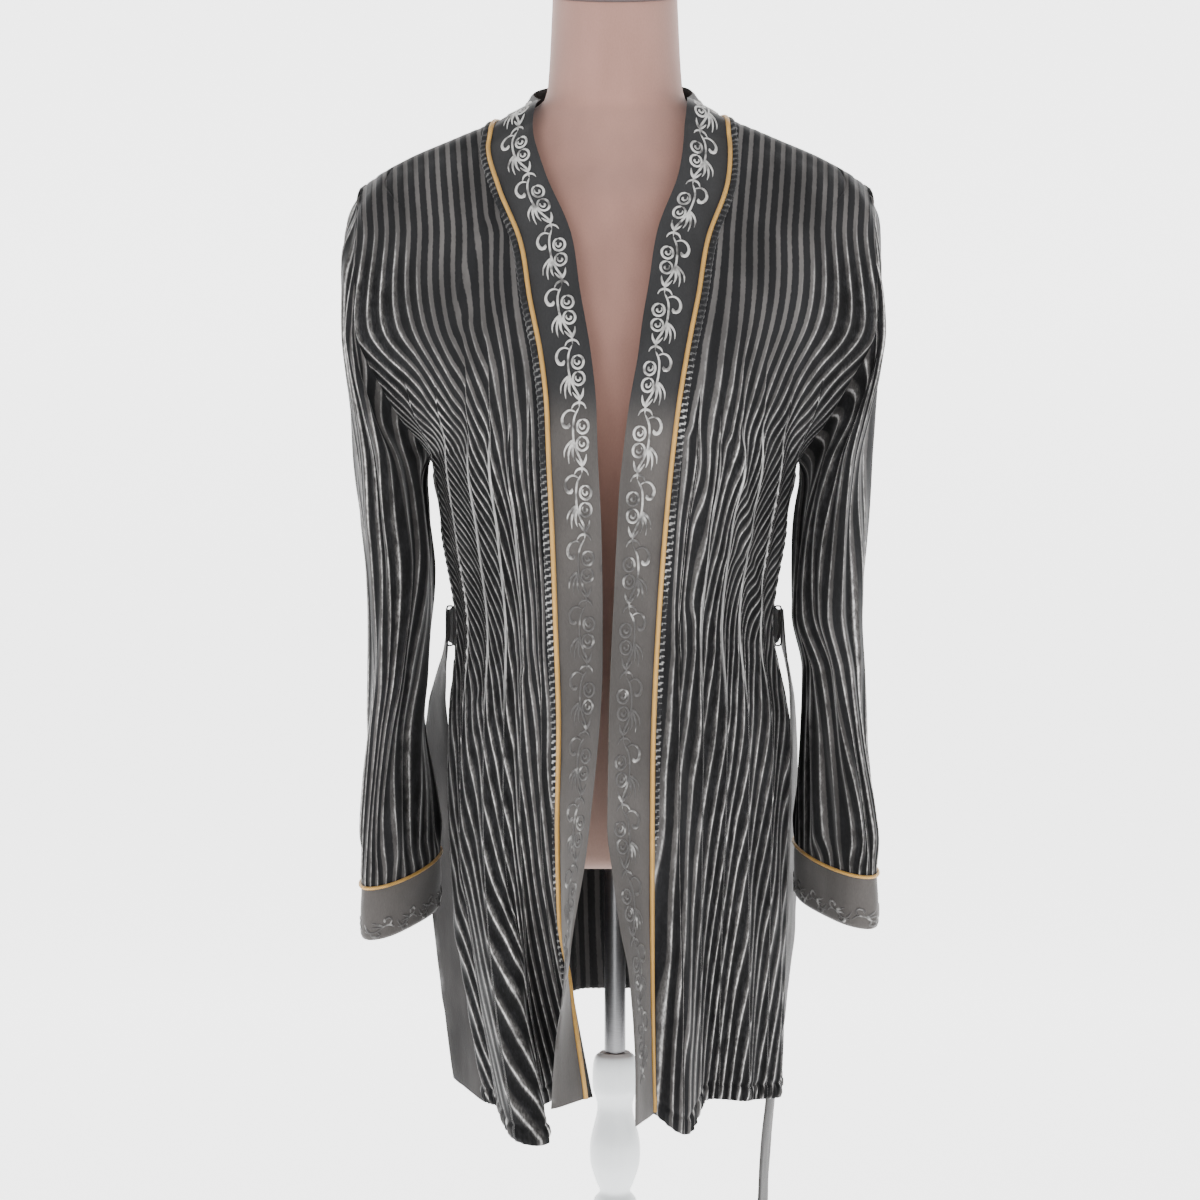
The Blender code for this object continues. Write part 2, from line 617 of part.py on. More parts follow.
def armhole_turn(z):
    """Angle round the armhole at a height, from its top."""
    return np.arccos(np.clip((z - ARMHOLE_MID) / ARMHOLE_HALF, -1, 1))


def make_fronts():
    """The fronts, their bands and the piping between them."""
    loops = {}
    for side, name in SIDE_NAME.items():
        points, ways = front_grid(side)
        ways[0] = shoulder_way(side)
        set_edges(side, points, ways)
        band, band_ways = band_grid(side, points[:, 0], ways[:, 0])
        ways[:, 0] = band_ways[:, 0]
        base = draw_in(points, ways)
        wall("front_" + name, ribbed(base, ways), base, ways, RIBBED, step=INNER_STEP[side])
        band_base = draw_in(band, band_ways)
        wall("band_" + name, band_base, band_base, band_ways, PLAIN)
        lifted = band[:, 0] + band_ways[:, 0] * PIPING_LIFT
        tube("piping_" + name, lifted[2:], PIPING_RADIUS, GOLD)
        loops[side] = points[:ARMHOLE_ROWS + 1, -1]
    return loops


def make_back():
    """The back, with the standing band and piping at its neckline."""
    columns = 4 * BACK_RIBS + 1
    share, row = np.meshgrid(np.linspace(-1, 1, columns), np.arange(PANEL_ROWS + 1))
    points = back_point(share, row)
    ways = -grid_ways(points)
    middle = columns // 2
    neck = round(2 * BACK_RIBS * NECK_SHARE)
    ways[0, :middle - neck + 1] = shoulder_way(-1)
    ways[0, middle + neck:] = shoulder_way(1)
    set_edges(-1, points[:, middle::-1], ways[:, middle::-1])
    set_edges(1, points[:, middle:], ways[:, middle:])
    under = slice(middle - neck, middle + neck + 1)
    seam = points[0, under]
    turn = np.abs(share[0, under]) / NECK_SHARE
    ends = {side: np.array([profile(NECK_Z[side]) for profile in RUN[side]]) * [side, 1, 1]
            for side in SIDE_NAME}
    end = np.where((seam[:, 0] < 0)[:, None], ends[-1], ends[1])
    run = np.array(NECK_BAND_RISE) + (end - NECK_BAND_RISE) * (turn ** 2)[:, None]
    band = seam[None] + run[None] * np.linspace(0, 1, 3)[:, None, None]
    band_ways = grid_ways(band)
    band_ways[0] = unit(ways[0, under] + band_ways[0])
    for end, side in ((0, -1), (-1, 1)):
        band_ways[:, end] = shoulder_way(side)
    ways[0, under] = band_ways[0]
    base = draw_in(points, ways)
    wall("back", ribbed(base, ways), base, ways, RIBBED, step=2)
    band_base = draw_in(band, band_ways)
    wall("band_neck", band_base, band_base, band_ways, PLAIN)
    lifted = seam + band_ways[0] * PIPING_LIFT
    tube("piping_neck", lifted[2:-2:2], PIPING_RADIUS, GOLD)
    return {-1: points[:ARMHOLE_ROWS + 1, 0], 1: points[:ARMHOLE_ROWS + 1, -1]}


def make_sleeve(side, front_loop, back_loop):
    """A sleeve from the armhole to its cuff, with the cuff's piping."""
    name = SIDE_NAME[side]
    columns = 2 * SLEEVE_RIBS
    angle = 2 * np.pi * np.arange(columns) / columns
    loop = np.zeros((columns, 3))
    for axis in range(3):
        front = np.interp(angle, armhole_turn(front_loop[:, 2]), front_loop[:, axis])
        back = np.interp(2 * np.pi - angle, armhole_turn(back_loop[:, 2]), back_loop[:, axis])
        loop[:, axis] = np.where(angle <= np.pi, front, back)
    around, drop = np.meshgrid(angle, np.arange(SLEEVE_ROWS + 1) / SLEEVE_ROWS)
    points = sleeve_point(side, around, drop, np.broadcast_to(loop, around.shape + (3,)))
    points[-1, 1::2] = (points[-1, ::2] + np.roll(points[-1, ::2], -1, axis=0)) / 2
    ways = grid_ways(points, ring=True) * -side
    ways[0] = armhole_way(side, angle)
    base = draw_in(points, ways, ring=True)
    raised = base.copy()
    raised[1:-1, 1::2] += ways[1:-1, 1::2] * RIB_RISE
    wall("sleeve_" + name, raised, base, ways, RIBBED, ring=True)

    top = points[-1, ::2]
    z = top[:, 2] - np.array([[0.0], [CUFF_HEIGHT]])
    section = sleeve_section(side, np.broadcast_to(angle[::2], z.shape), z)
    cuff = np.concatenate([section, z[..., None]], axis=-1)
    cuff_ways = grid_ways(cuff, ring=True) * -side
    cuff_ways[0] = ways[-1, ::2]
    cuff_base = draw_in(cuff, cuff_ways, ring=True)
    wall("cuff_" + name, cuff_base, cuff_base, cuff_ways, PLAIN, ring=True)
    tube("piping_cuff_" + name, top + cuff_ways[0] * CUFF_PIPING_LIFT, PIPING_RADIUS, GOLD,
         closed=True)


def strip(name, points, across, finish, thick):
    """A flat strip along points, as wide as the across steps say."""
    spans = np.linspace(-0.5, 0.5, 3)
    grid = points[:, None] + across[:, None] * spans[None, :, None]
    ways = grid_ways(grid)
    half = ways * thick / 2
    return wall(name, grid + half, grid + half, ways, finish, thick=thick)


def make_belt():
    """The belt round the back, its two falls and the loops at the side seams."""
    share = np.linspace(-1, 1, 27)
    level = np.full(share.shape, BELT_Z)
    across = spread(0 * share, np.abs(share) * 0.97, level)
    place = np.where((share < 0)[:, None], body_point(-1, 1, across, level),
                     body_point(1, 1, across, level))
    away = unit(np.cross(np.gradient(place, axis=0), (0, 0, 1)))
    away *= np.sign(np.sum(away * (place * [1, 1, 0]), axis=-1, keepdims=True))
    width = BELT_WIDTH - 0.014 * ease((np.abs(share) - 0.75) / 0.25)
    upright = np.stack([0 * width, 0 * width, -width], axis=-1)
    standoff = BELT_STANDOFF + BELT_BACK_SLACK * (1 - share ** 4)
    strip("belt_back", place + away * standoff[:, None], upright, PLAIN, BELT_WALL)
    for side, name in SIDE_NAME.items():
        rows = FALL[side]
        z = np.linspace(rows[0].z, rows[-1].z, 12)
        x, y, wide, turn = (Profile(rows, "z", field)(z) for field in Fall._fields[1:])
        turn = np.radians(turn)
        line = np.stack([side * x, y, z], axis=-1)
        flat = np.stack([side * np.cos(turn), np.sin(turn), 0 * turn], axis=-1) * wide[:, None]
        flat[-1, 2] = FALL_SLANT
        strip("belt_fall_" + name, line, flat, PLAIN, BELT_WALL)
        make_loop(side, name, place[-1 if side > 0 else 0])


def make_loop(side, name, seat):
    """A flat ring sewn at the side seam, with the belt's end inside it."""
    deep, tall = LOOP_ROOM + LOOP_WALL / 2, LOOP_HEIGHT / 2
    bm = bmesh.new()
    bmesh.ops.create_cube(bm, size=1)
    bmesh.ops.scale(bm, vec=(2 * deep + LOOP_WALL, LOOP_LENGTH, 2 * tall), verts=bm.verts)
    mouths = [face for face in bm.faces if abs(face.normal.y) > 0.9]
    bmesh.ops.inset_individual(bm, faces=mouths, thickness=LOOP_WALL)
    bmesh.ops.bridge_loops(bm, edges=[edge for face in mouths for edge in face.edges])
    bmesh.ops.delete(bm, geom=mouths, context="FACES_ONLY")
    bmesh.ops.translate(bm, verts=bm.verts, vec=seat + [side * BELT_STANDOFF, 0.006, 0])
    new_object("belt_loop_" + name, bm, PLAIN)


def form_rows():
    """Sections of the form: the torso, the shoulders under the robe, and the neck."""
    rows = list(FORM_TORSO)
    for z in (1.275, 1.292, 1.303, 1.312, 1.322, 1.334, 1.345, 1.3525, 1.358):
        above = z + FORM_DROP
        half = min(float(HALF[1](above)), FORM_SHOULDER)
        rows.append(Form(z, half, float(DEPTH[-1](above)) - FORM_INSET,
                         float(DEPTH[1](above)) - FORM_INSET, FORM_SHOULDER_ROUND))
    return rows + FORM_NECK


def make_form():
    """The padded form in its cover, and the cap on its neck."""
    angle = 2 * np.pi * np.arange(FORM_AROUND) / FORM_AROUND
    sine, cosine = np.sin(angle), np.cos(angle)
    bm = bmesh.new()
    rings = []
    rows = form_rows() + [Form(NECK_TOP_Z, 0.0530, 0.053, 0.056, 2.0)]
    for row in rows:
        depth = np.where(cosine > 0, row.front, row.back)
        x = row.half * np.sign(sine) * np.abs(sine) ** (2 / row.round)
        y = -depth * np.sign(cosine) * np.abs(cosine) ** (2 / row.round)
        z = row.z + y * NECK_TOP_SLOPE * float(ease((row.z - 1.395) / (NECK_TOP_Z - 1.395)))
        rings.append([bm.verts.new(point) for point in np.stack([x, y, z], axis=-1)])
    for low, high in zip(rings, rings[1:]):
        for column in range(FORM_AROUND):
            far = (column + 1) % FORM_AROUND
            bm.faces.new((low[column], low[far], high[far], high[column]))
    bm.faces.new(rings[0])
    bm.faces.new(rings[-1])
    top = [vert.co.copy() for vert in rings[-1]]
    bmesh.ops.triangulate(bm, faces=bm.faces)
    new_object("form_torso", bm, COVER)

    bm = bmesh.new()
    rings = []
    for rise, size in ((SEAM_GAP, 1.03), (CAP_HEIGHT * 0.7, 1.04), (CAP_HEIGHT, 0.97)):
        rings.append([bm.verts.new((co.x * size, co.y * size,
                                    NECK_TOP_Z + co.y * size * NECK_TOP_SLOPE + rise))
                      for co in top])
    for low, high in zip(rings, rings[1:]):
        for column in range(FORM_AROUND):
            far = (column + 1) % FORM_AROUND
            bm.faces.new((low[column], low[far], high[far], high[column]))
    bm.faces.new(rings[0])
    bm.faces.new(rings[-1])
    new_object("neck_cap", bm, CAP)


def make_stand():
    """The rod under the form, the turned post and its round base."""
    rod = [Turned(ROD_RADIUS, ROD_TOP), Turned(ROD_RADIUS, COLLAR_TOP + SEAM_GAP)]
    revolved("rod", rod, STEEL, 16)
    revolved("post", POST, PAINT, 16)
    base = [Turned(BASE_RADIUS - 0.014, BASE_HEIGHT), Turned(BASE_RADIUS - 0.004, BASE_HEIGHT - 0.005),
            Turned(BASE_RADIUS, BASE_HEIGHT - 0.013), Turned(BASE_RADIUS, 0.0)]
    revolved("base", base, PAINT, 40)


def main():
    for old in list(bpy.data.objects):
        bpy.data.objects.remove(old)
    front_loops = make_fronts()
    back_loops = make_back()
    for side in SIDE_NAME:
        make_sleeve(side, front_loops[side], back_loops[side])
    make_belt()
    make_form()
    make_stand()


main()
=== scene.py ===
"""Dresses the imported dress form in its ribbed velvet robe, and sets the stage around it.

Metres, +Z up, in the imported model's frame. The front faces -Y, and side -1 is the
wearer's right. The tables and surfaces are those of the part's source.
"""

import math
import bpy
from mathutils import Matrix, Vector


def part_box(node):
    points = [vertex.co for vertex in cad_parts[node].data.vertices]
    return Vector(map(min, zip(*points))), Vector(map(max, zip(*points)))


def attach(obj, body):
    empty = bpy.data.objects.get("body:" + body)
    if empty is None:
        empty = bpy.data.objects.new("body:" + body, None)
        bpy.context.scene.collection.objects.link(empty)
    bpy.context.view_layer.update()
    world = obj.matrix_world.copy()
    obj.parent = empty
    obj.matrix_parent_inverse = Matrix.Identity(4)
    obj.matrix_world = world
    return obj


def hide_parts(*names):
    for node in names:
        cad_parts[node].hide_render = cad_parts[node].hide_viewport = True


bl_info = {
    "name": "Velvet Kimono Robe",
    "version": (1, 0, 0),
    "blender": (4, 5, 0),
    "location": "View3D > Sidebar > Robe",
    "description": "Builds the ribbed velvet robe, its trim and its dress form",
    "category": "Add Mesh",
}

from collections import namedtuple

import bmesh
import bpy
import numpy as np
from bpy.props import FloatProperty, FloatVectorProperty, PointerProperty
from mathutils import Vector

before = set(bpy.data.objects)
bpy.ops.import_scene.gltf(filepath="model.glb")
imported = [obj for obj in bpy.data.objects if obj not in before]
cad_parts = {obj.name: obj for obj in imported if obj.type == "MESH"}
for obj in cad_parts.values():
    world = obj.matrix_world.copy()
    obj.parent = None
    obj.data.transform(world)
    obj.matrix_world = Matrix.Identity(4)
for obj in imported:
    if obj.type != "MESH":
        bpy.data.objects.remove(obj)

ROUND = 2.3                  # exponent of the body's rounded sections

# Shoulders and armholes
TIP_Z = 1.298
UNDERARM_Z = 1.070
ARMHOLE_MID = (TIP_Z + UNDERARM_Z) / 2
ARMHOLE_HALF = (TIP_Z - UNDERARM_Z) / 2
ARMHOLE_DEPTH = 0.070
SPREAD_Z = 1.27              # above this the columns turn to hang from the shoulder
STRAIGHT_Z = 1.30
ARMHOLE_ROWS = 9             # rows of a panel between the shoulder and the underarm
SKIRT_DROPS = (0, 0.13, 0.27, 0.42, 0.60, 0.80, 1)      # rows below it; one is at the waist
PANEL_ROWS = ARMHOLE_ROWS + len(SKIRT_DROPS) - 1

Section = namedtuple("Section", "z right left front back")
BODY = [
    Section(1.364, 0.0800, 0.0800, 0.054, 0.066),
    Section(1.357, 0.0950, 0.0950, 0.056, 0.072),
    Section(1.339, 0.1360, 0.1360, 0.062, 0.081),
    Section(1.322, 0.1750, 0.1750, 0.069, 0.087),
    Section(1.308, 0.2000, 0.2000, 0.074, 0.091),
    Section(1.298, 0.2120, 0.2120, 0.079, 0.094),
    Section(1.277, 0.2130, 0.2130, 0.088, 0.099),
    Section(1.216, 0.2130, 0.2130, 0.112, 0.108),
    Section(1.170, 0.2120, 0.2120, 0.128, 0.111),
    Section(1.140, 0.2000, 0.1980, 0.136, 0.112),
    Section(1.100, 0.1780, 0.1760, 0.143, 0.112),
    Section(1.070, 0.1560, 0.1550, 0.145, 0.112),
    Section(1.020, 0.1470, 0.1450, 0.145, 0.112),
    Section(0.970, 0.1430, 0.1380, 0.143, 0.112),
    Section(0.925, 0.1335, 0.1320, 0.142, 0.115),
    Section(0.860, 0.1400, 0.1460, 0.143, 0.120),
    Section(0.800, 0.1405, 0.1460, 0.148, 0.128),
    Section(0.745, 0.1390, 0.1440, 0.153, 0.136),
    Section(0.690, 0.1330, 0.1420, 0.159, 0.143),
    Section(0.630, 0.1220, 0.1420, 0.166, 0.151),
    Section(0.580, 0.1130, 0.1400, 0.171, 0.157),
    Section(0.530, 0.1040, 0.1370, 0.176, 0.162),
]

# Band seam, and the step from it to the band's free edge; x counts outwards
Band = namedtuple("Band", "z seam run_x run_y run_z")
BAND = {
    -1: [
        Band(1.3555, 0.0980, -0.0350, 0.0040, 0.022),
        Band(1.3200, 0.0910, -0.0360, -0.0060, 0.017),
        Band(1.2770, 0.0820, -0.0370, -0.0100, 0.012),
        Band(1.2160, 0.0736, -0.0395, -0.0080, 0.009),
        Band(1.1580, 0.0620, -0.0385, -0.0100, 0.006),
        Band(1.1140, 0.0550, -0.0380, -0.0120, 0.004),
        Band(1.0470, 0.0520, -0.0380, -0.0140, 0.000),
        Band(0.9730, 0.0485, -0.0375, -0.0140, 0.000),
        Band(0.9030, 0.0464, -0.0350, -0.0180, 0.000),
        Band(0.8360, 0.0440, -0.0290, -0.0280, 0.000),
        Band(0.7770, 0.0455, -0.0235, -0.0340, 0.000),
        Band(0.7175, 0.0430, -0.0130, -0.0400, 0.000),
        Band(0.6610, 0.0445, -0.0010, -0.0420, 0.000),
        Band(0.6100, 0.0400, 0.0140, -0.0395, 0.000),
        Band(0.5450, 0.0300, 0.0280, -0.0290, 0.000),
    ],
    1: [
        Band(1.3592, 0.0900, -0.0285, 0.0040, 0.020),
        Band(1.3200, 0.0860, -0.0370, -0.0060, 0.014),
        Band(1.2770, 0.0800, -0.0390, -0.0080, 0.010),
        Band(1.2260, 0.0716, -0.0400, -0.0060, 0.008),
        Band(1.1770, 0.0625, -0.0395, -0.0060, 0.006),
        Band(1.1310, 0.0530, -0.0370, -0.0150, 0.004),
        Band(1.0940, 0.0474, -0.0380, -0.0120, 0.002),
        Band(1.0470, 0.0420, -0.0385, -0.0110, 0.000),
        Band(0.9945, 0.0370, -0.0365, -0.0160, 0.000),
        Band(0.9420, 0.0330, -0.0350, -0.0190, 0.000),
        Band(0.8360, 0.0280, -0.0340, -0.0210, 0.000),
        Band(0.7770, 0.0270, -0.0340, -0.0210, 0.000),
        Band(0.7390, 0.0275, -0.0290, -0.0275, 0.000),
        Band(0.7030, 0.0290, -0.0235, -0.0320, 0.000),
        Band(0.6660, 0.0260, -0.0160, -0.0365, 0.000),
        Band(0.6280, 0.0300, -0.0135, -0.0375, 0.000),
        Band(0.5450, 0.0274, -0.0135, -0.0375, 0.000),
    ],
}
NECK_SHARE = 0.40            # share of the back under the neckline
NECK_BACK_Z = 1.360
NECK_BAND_RISE = (0.0, -0.005, 0.046)      # the band's run at the middle of the back

# Hem height along each panel, by its share from the band seam or the middle of the back
Hem = namedtuple("Hem", "share z")
HEM = {
    "front_right": [Hem(0.00, 0.561), Hem(0.10, 0.560), Hem(0.34, 0.536), Hem(0.50, 0.542),
                    Hem(1.00, 0.544)],
    "front_left": [Hem(0.00, 0.558), Hem(0.10, 0.545), Hem(0.25, 0.562), Hem(0.60, 0.552),
                   Hem(1.00, 0.544)],
    "back": [Hem(0.00, 0.590), Hem(0.55, 0.580), Hem(1.00, 0.544)],
}

# Soft folds in the skirt: share where each runs, half width, rise at the hem, and top
Fold = namedtuple("Fold", "share width rise top")
FOLDS = {
    "front_right": [Fold(0.72, 0.06, 0.007, 0.86), Fold(0.60, 0.04, -0.004, 0.80)],
    "front_left": [Fold(0.10, 0.07, 0.018, 0.82), Fold(0.25, 0.07, -0.008, 0.80),
                   Fold(0.40, 0.06, 0.006, 0.84), Fold(0.66, 0.07, 0.008, 0.86)],
    "back": [Fold(0.12, 0.06, 0.008, 0.84), Fold(0.38, 0.07, 0.010, 0.86),
             Fold(0.62, 0.06, 0.008, 0.84), Fold(0.84, 0.05, 0.006, 0.82)],
}

# The front corner at the wearer's right rolls over at the hem: place of each share there
Corner = namedtuple("Corner", "share x y")
CORNER_TOP = 0.80
CORNER_END = 0.62
CORNER_FADE = 0.14
CORNER = [
    Corner(0.000, -0.026, -0.140),
    Corner(0.024, -0.020, -0.134),
    Corner(0.050, -0.023, -0.126),
    Corner(0.120, -0.042, -0.126),
    Corner(0.180, -0.058, -0.137),
    Corner(0.235, -0.061, -0.155),
    Corner(0.280, -0.053, -0.168),
    Corner(0.310, -0.052, -0.178),
    Corner(0.350, -0.062, -0.184),
    Corner(0.400, -0.076, -0.177),
    Corner(0.460, -0.084, -0.158),
    Corner(0.530, -0.091, -0.125),
    Corner(0.620, -0.098, -0.090),
]

# Sleeves: outer and inner side, middle and half depth front to back, and turn of the section
Sleeve = namedtuple("Sleeve", "z outer inner middle depth turn")
SLEEVE = {
    -1: [
        Sleeve(1.300, 0.2170, 0.2110, 0.000, 0.070, 0),
        Sleeve(1.280, 0.2220, 0.2110, 0.000, 0.070, 0),
        Sleeve(1.237, 0.2250, 0.2110, 0.000, 0.071, 0),
        Sleeve(1.170, 0.2240, 0.2110, -0.001, 0.073, 0),
        Sleeve(1.140, 0.2230, 0.2025, -0.002, 0.074, 0),
        Sleeve(1.100, 0.2200, 0.1840, -0.004, 0.076, 0),
        Sleeve(1.060, 0.2170, 0.1650, -0.007, 0.077, 0),
        Sleeve(1.020, 0.2130, 0.1590, -0.010, 0.077, 0),
        Sleeve(0.975, 0.2070, 0.1550, -0.014, 0.076, 0),
        Sleeve(0.890, 0.2020, 0.1600, -0.023, 0.073, 2),
        Sleeve(0.840, 0.2005, 0.1640, -0.028, 0.071, 6),
        Sleeve(0.780, 0.1985, 0.1600, -0.035, 0.067, 14),
        Sleeve(0.730, 0.1975, 0.1560, -0.041, 0.062, 20),
        Sleeve(0.670, 0.1970, 0.1545, -0.047, 0.056, 24),
    ],
    1: [
        Sleeve(1.300, 0.2155, 0.2110, 0.000, 0.070, 0),
        Sleeve(1.280, 0.2180, 0.2110, 0.000, 0.070, 0),
        Sleeve(1.230, 0.2200, 0.2110, 0.000, 0.071, 0),
        Sleeve(1.170, 0.2190, 0.2110, -0.001, 0.073, 0),
        Sleeve(1.137, 0.2175, 0.2020, -0.002, 0.074, 0),
        Sleeve(1.100, 0.2150, 0.1830, -0.004, 0.076, 0),
        Sleeve(1.060, 0.2120, 0.1640, -0.007, 0.077, 0),
        Sleeve(1.000, 0.2090, 0.1530, -0.011, 0.076, 0),
        Sleeve(0.940, 0.2060, 0.1500, -0.017, 0.074, 0),
        Sleeve(0.890, 0.2050, 0.1610, -0.023, 0.072, 2),
        Sleeve(0.840, 0.2045, 0.1620, -0.028, 0.070, 6),
        Sleeve(0.780, 0.2040, 0.1610, -0.035, 0.067, 14),
        Sleeve(0.730, 0.2040, 0.1590, -0.041, 0.062, 20),
        Sleeve(0.670, 0.2040, 0.1580, -0.047, 0.057, 24),
    ],
}
CUFF_TOP = {-1: 0.729, 1: 0.738}
CUFF_SLANT = 0.16            # rise of the sleeve's end per metre towards the back
CUFF_HEIGHT = 0.042
CUFF_LEVEL = 0.72            # where the sleeve's depth sets the slant
SLEEVE_PACE = 1.45           # above 1 the rows lie closer at the armhole

# Tie belt
BELT_Z = 0.928
BELT_WIDTH = 0.042
BELT_WALL = 0.0024
BELT_BACK_CUT = 0.38         # length round the back
BELT_STANDOFF = 0.0078       # from the body's surface to the middle of the belt, at its ends
BELT_BACK_SLACK = 0.0038     # further off the ribs across the back
BELT_PINCH = 0.014           # narrower in its loops by this
LOOP_WALL = 0.0014
LOOP_ROOM = 0.0018            # from the middle of the belt to the loop, inside
LOOP_HEIGHT = 0.034
LOOP_LENGTH = 0.007
Fall = namedtuple("Fall", "z x y width turn")
FALL = {
    -1: [
        Fall(0.942, 0.1442, 0.030, 0.024, 92),
        Fall(0.915, 0.1465, 0.036, 0.030, 84),
        Fall(0.860, 0.1550, 0.052, 0.036, 60),
        Fall(0.800, 0.1565, 0.057, 0.041, 46),
        Fall(0.740, 0.1535, 0.058, 0.042, 44),
        Fall(0.680, 0.1470, 0.058, 0.042, 43),
        Fall(0.570, 0.1340, 0.056, 0.042, 44),
        Fall(0.520, 0.1280, 0.055, 0.042, 45),
    ],
    1: [
        Fall(0.942, 0.1426, 0.030, 0.024, 92),
        Fall(0.915, 0.1455, 0.038, 0.030, 90),
        Fall(0.860, 0.1560, 0.062, 0.036, 80),
        Fall(0.800, 0.1580, 0.070, 0.040, 76),
        Fall(0.680, 0.1570, 0.082, 0.042, 72),
        Fall(0.560, 0.1460, 0.092, 0.042, 72),
        Fall(0.440, 0.1340, 0.092, 0.042, 72),
        Fall(0.310, 0.1290, 0.090, 0.042, 72),
    ],
}
FALL_SLANT = 0.014           # height of the slanted cut at a belt's end

# Dress form: its shoulders follow the robe's, lower by the wall and a small clearance
FORM_DROP = 0.0036
FORM_INSET = 0.0034
FORM_SHOULDER = 0.188
FORM_SHOULDER_ROUND = 1.75
FORM_SHOULDER_LEVELS = (1.275, 1.292, 1.303, 1.312, 1.322, 1.334, 1.345, 1.3525, 1.358)
Form = namedtuple("Form", "z half front back round", defaults=(ROUND,))
FORM_TORSO = [
    Form(0.734, 0.120, 0.096, 0.098),
    Form(0.742, 0.132, 0.106, 0.108),
    Form(0.785, 0.136, 0.112, 0.112),
    Form(0.860, 0.128, 0.107, 0.104),
    Form(0.925, 0.1165, 0.101, 0.098),
    Form(0.980, 0.1200, 0.109, 0.097),
    Form(1.045, 0.1310, 0.121, 0.099),
    Form(1.110, 0.1410, 0.126, 0.101),
    Form(1.160, 0.1520, 0.117, 0.101),
    Form(1.210, 0.1700, 0.101, 0.099),
    Form(1.250, 0.1830, 0.088, 0.096),
]
FORM_NECK = [
    Form(1.366, 0.0690, 0.0530, 0.0640, 1.8),
    Form(1.373, 0.0605, 0.0535, 0.0605, 1.9),
    Form(1.386, 0.0570, 0.0535, 0.0590, 2.0),
    Form(1.450, 0.0535, 0.0535, 0.0570, 2.0),
]
NECK_TOP_SLOPE = 0.38        # the neck's top leans down towards the front
NECK_TOP_Z = 1.4625
NECK_LEAN_Z = 1.395          # the lean starts here

ROD_TOP = 0.7337
COLLAR_TOP = 0.566
BASE_RADIUS = 0.190
BASE_HEIGHT = 0.024
BASE_EDGE_WIDE = 0.014       # of the round edge on the base
BASE_EDGE_DEEP = 0.013
Turned = namedtuple("Turned", "radius z")
POST = [
    Turned(0.0125, 0.566), Turned(0.0170, 0.562), Turned(0.0190, 0.552), Turned(0.0190, 0.536),
    Turned(0.0165, 0.528), Turned(0.0150, 0.520), Turned(0.0165, 0.510), Turned(0.0205, 0.494),
    Turned(0.0215, 0.482), Turned(0.0205, 0.470), Turned(0.0160, 0.456), Turned(0.0130, 0.448),
    Turned(0.0175, 0.442), Turned(0.0185, 0.436), Turned(0.0150, 0.429), Turned(0.0165, 0.380),
    Turned(0.0190, 0.300), Turned(0.0205, 0.200), Turned(0.0200, 0.130), Turned(0.0165, 0.098),
    Turned(0.0230, 0.090), Turned(0.0245, 0.082), Turned(0.0220, 0.074), Turned(0.0300, 0.052),
    Turned(0.0460, 0.036), Turned(0.0500, 0.0243),
]

SIDE_NAME = {-1: "right", 1: "left"}


class Profile:
    """One table column as a smooth function of another, by monotone cubic pieces."""

    def __init__(self, rows, key, value):
        pairs = sorted((getattr(row, key), getattr(row, value)) for row in rows)
        self.keys, self.values = np.array(pairs).T
        rise = np.diff(self.values) / np.diff(self.keys)
        self.slopes = np.concatenate([rise[:1], np.zeros(len(rise) - 1), rise[-1:]])
        same = rise[1:] * rise[:-1] > 0
        harmonic = 2 * rise[1:] * rise[:-1] / np.where(same, rise[1:] + rise[:-1], 1)
        self.slopes[1:-1] = np.where(same, harmonic, 0)

    def __call__(self, at):
        at = np.clip(at, self.keys[0], self.keys[-1])
        low = np.clip(np.searchsorted(self.keys, at, side="right") - 1, 0, len(self.keys) - 2)
        width = self.keys[low + 1] - self.keys[low]
        s = (at - self.keys[low]) / width
        hold = (1 + 2 * s) * (1 - s) ** 2 * self.values[low]
        reach = s * s * (3 - 2 * s) * self.values[low + 1]
        bend = s * (1 - s) ** 2 * self.slopes[low] - s * s * (1 - s) * self.slopes[low + 1]
        return hold + reach + bend * width


HALF = {-1: Profile(BODY, "z", "right"), 1: Profile(BODY, "z", "left")}
DEPTH = {-1: Profile(BODY, "z", "front"), 1: Profile(BODY, "z", "back")}
SEAM = {side: Profile(rows, "z", "seam") for side, rows in BAND.items()}
RUN = {side: [Profile(rows, "z", axis) for axis in ("run_x", "run_y", "run_z")]
       for side, rows in BAND.items()}
NECK_Z = {side: rows[0].z for side, rows in BAND.items()}


def ease(s):
    """Smooth step from 0 to 1."""
    s = np.clip(s, 0, 1)
    return s * s * (3 - 2 * s)


def unit(vectors):
    """Vectors of length one."""
    return vectors / np.maximum(np.linalg.norm(vectors, axis=-1, keepdims=True), 1e-12)


def between(at, keys, points):
    """Points at places between keys, on straight lines."""
    return np.stack([np.interp(at, keys, column) for column in points.T], axis=-1)


def run_along(line):
    """Distance of each point of a line from its first."""
    steps = np.linalg.norm(np.diff(line, axis=0), axis=1)
    return np.concatenate([[0.0], np.cumsum(steps)])


def flatness(z):
    """How flat the body's section is beside the armhole, 0 away from it and 1 halfway down."""
    return np.clip(1 - ((z - ARMHOLE_MID) / ARMHOLE_HALF) ** 2, 0, None)


def armhole_depth(z):
    """How far the armhole's edge stands off the side, front to back."""
    return ARMHOLE_DEPTH * np.sqrt(flatness(z))


def body_point(side, face, across, z):
    """A point of the body: across runs from 0 in the middle to 1 at the side."""
    hole = armhole_depth(z)
    power = 1 / ROUND + (1 - 1 / ROUND) * flatness(z)
    reach = np.clip(1 - across ** ROUND, 0, None) ** power
    y = face * (hole + (DEPTH[face](z) - hole) * reach)
    return np.stack([side * HALF[side](z) * across, y, z + 0 * y], axis=-1)


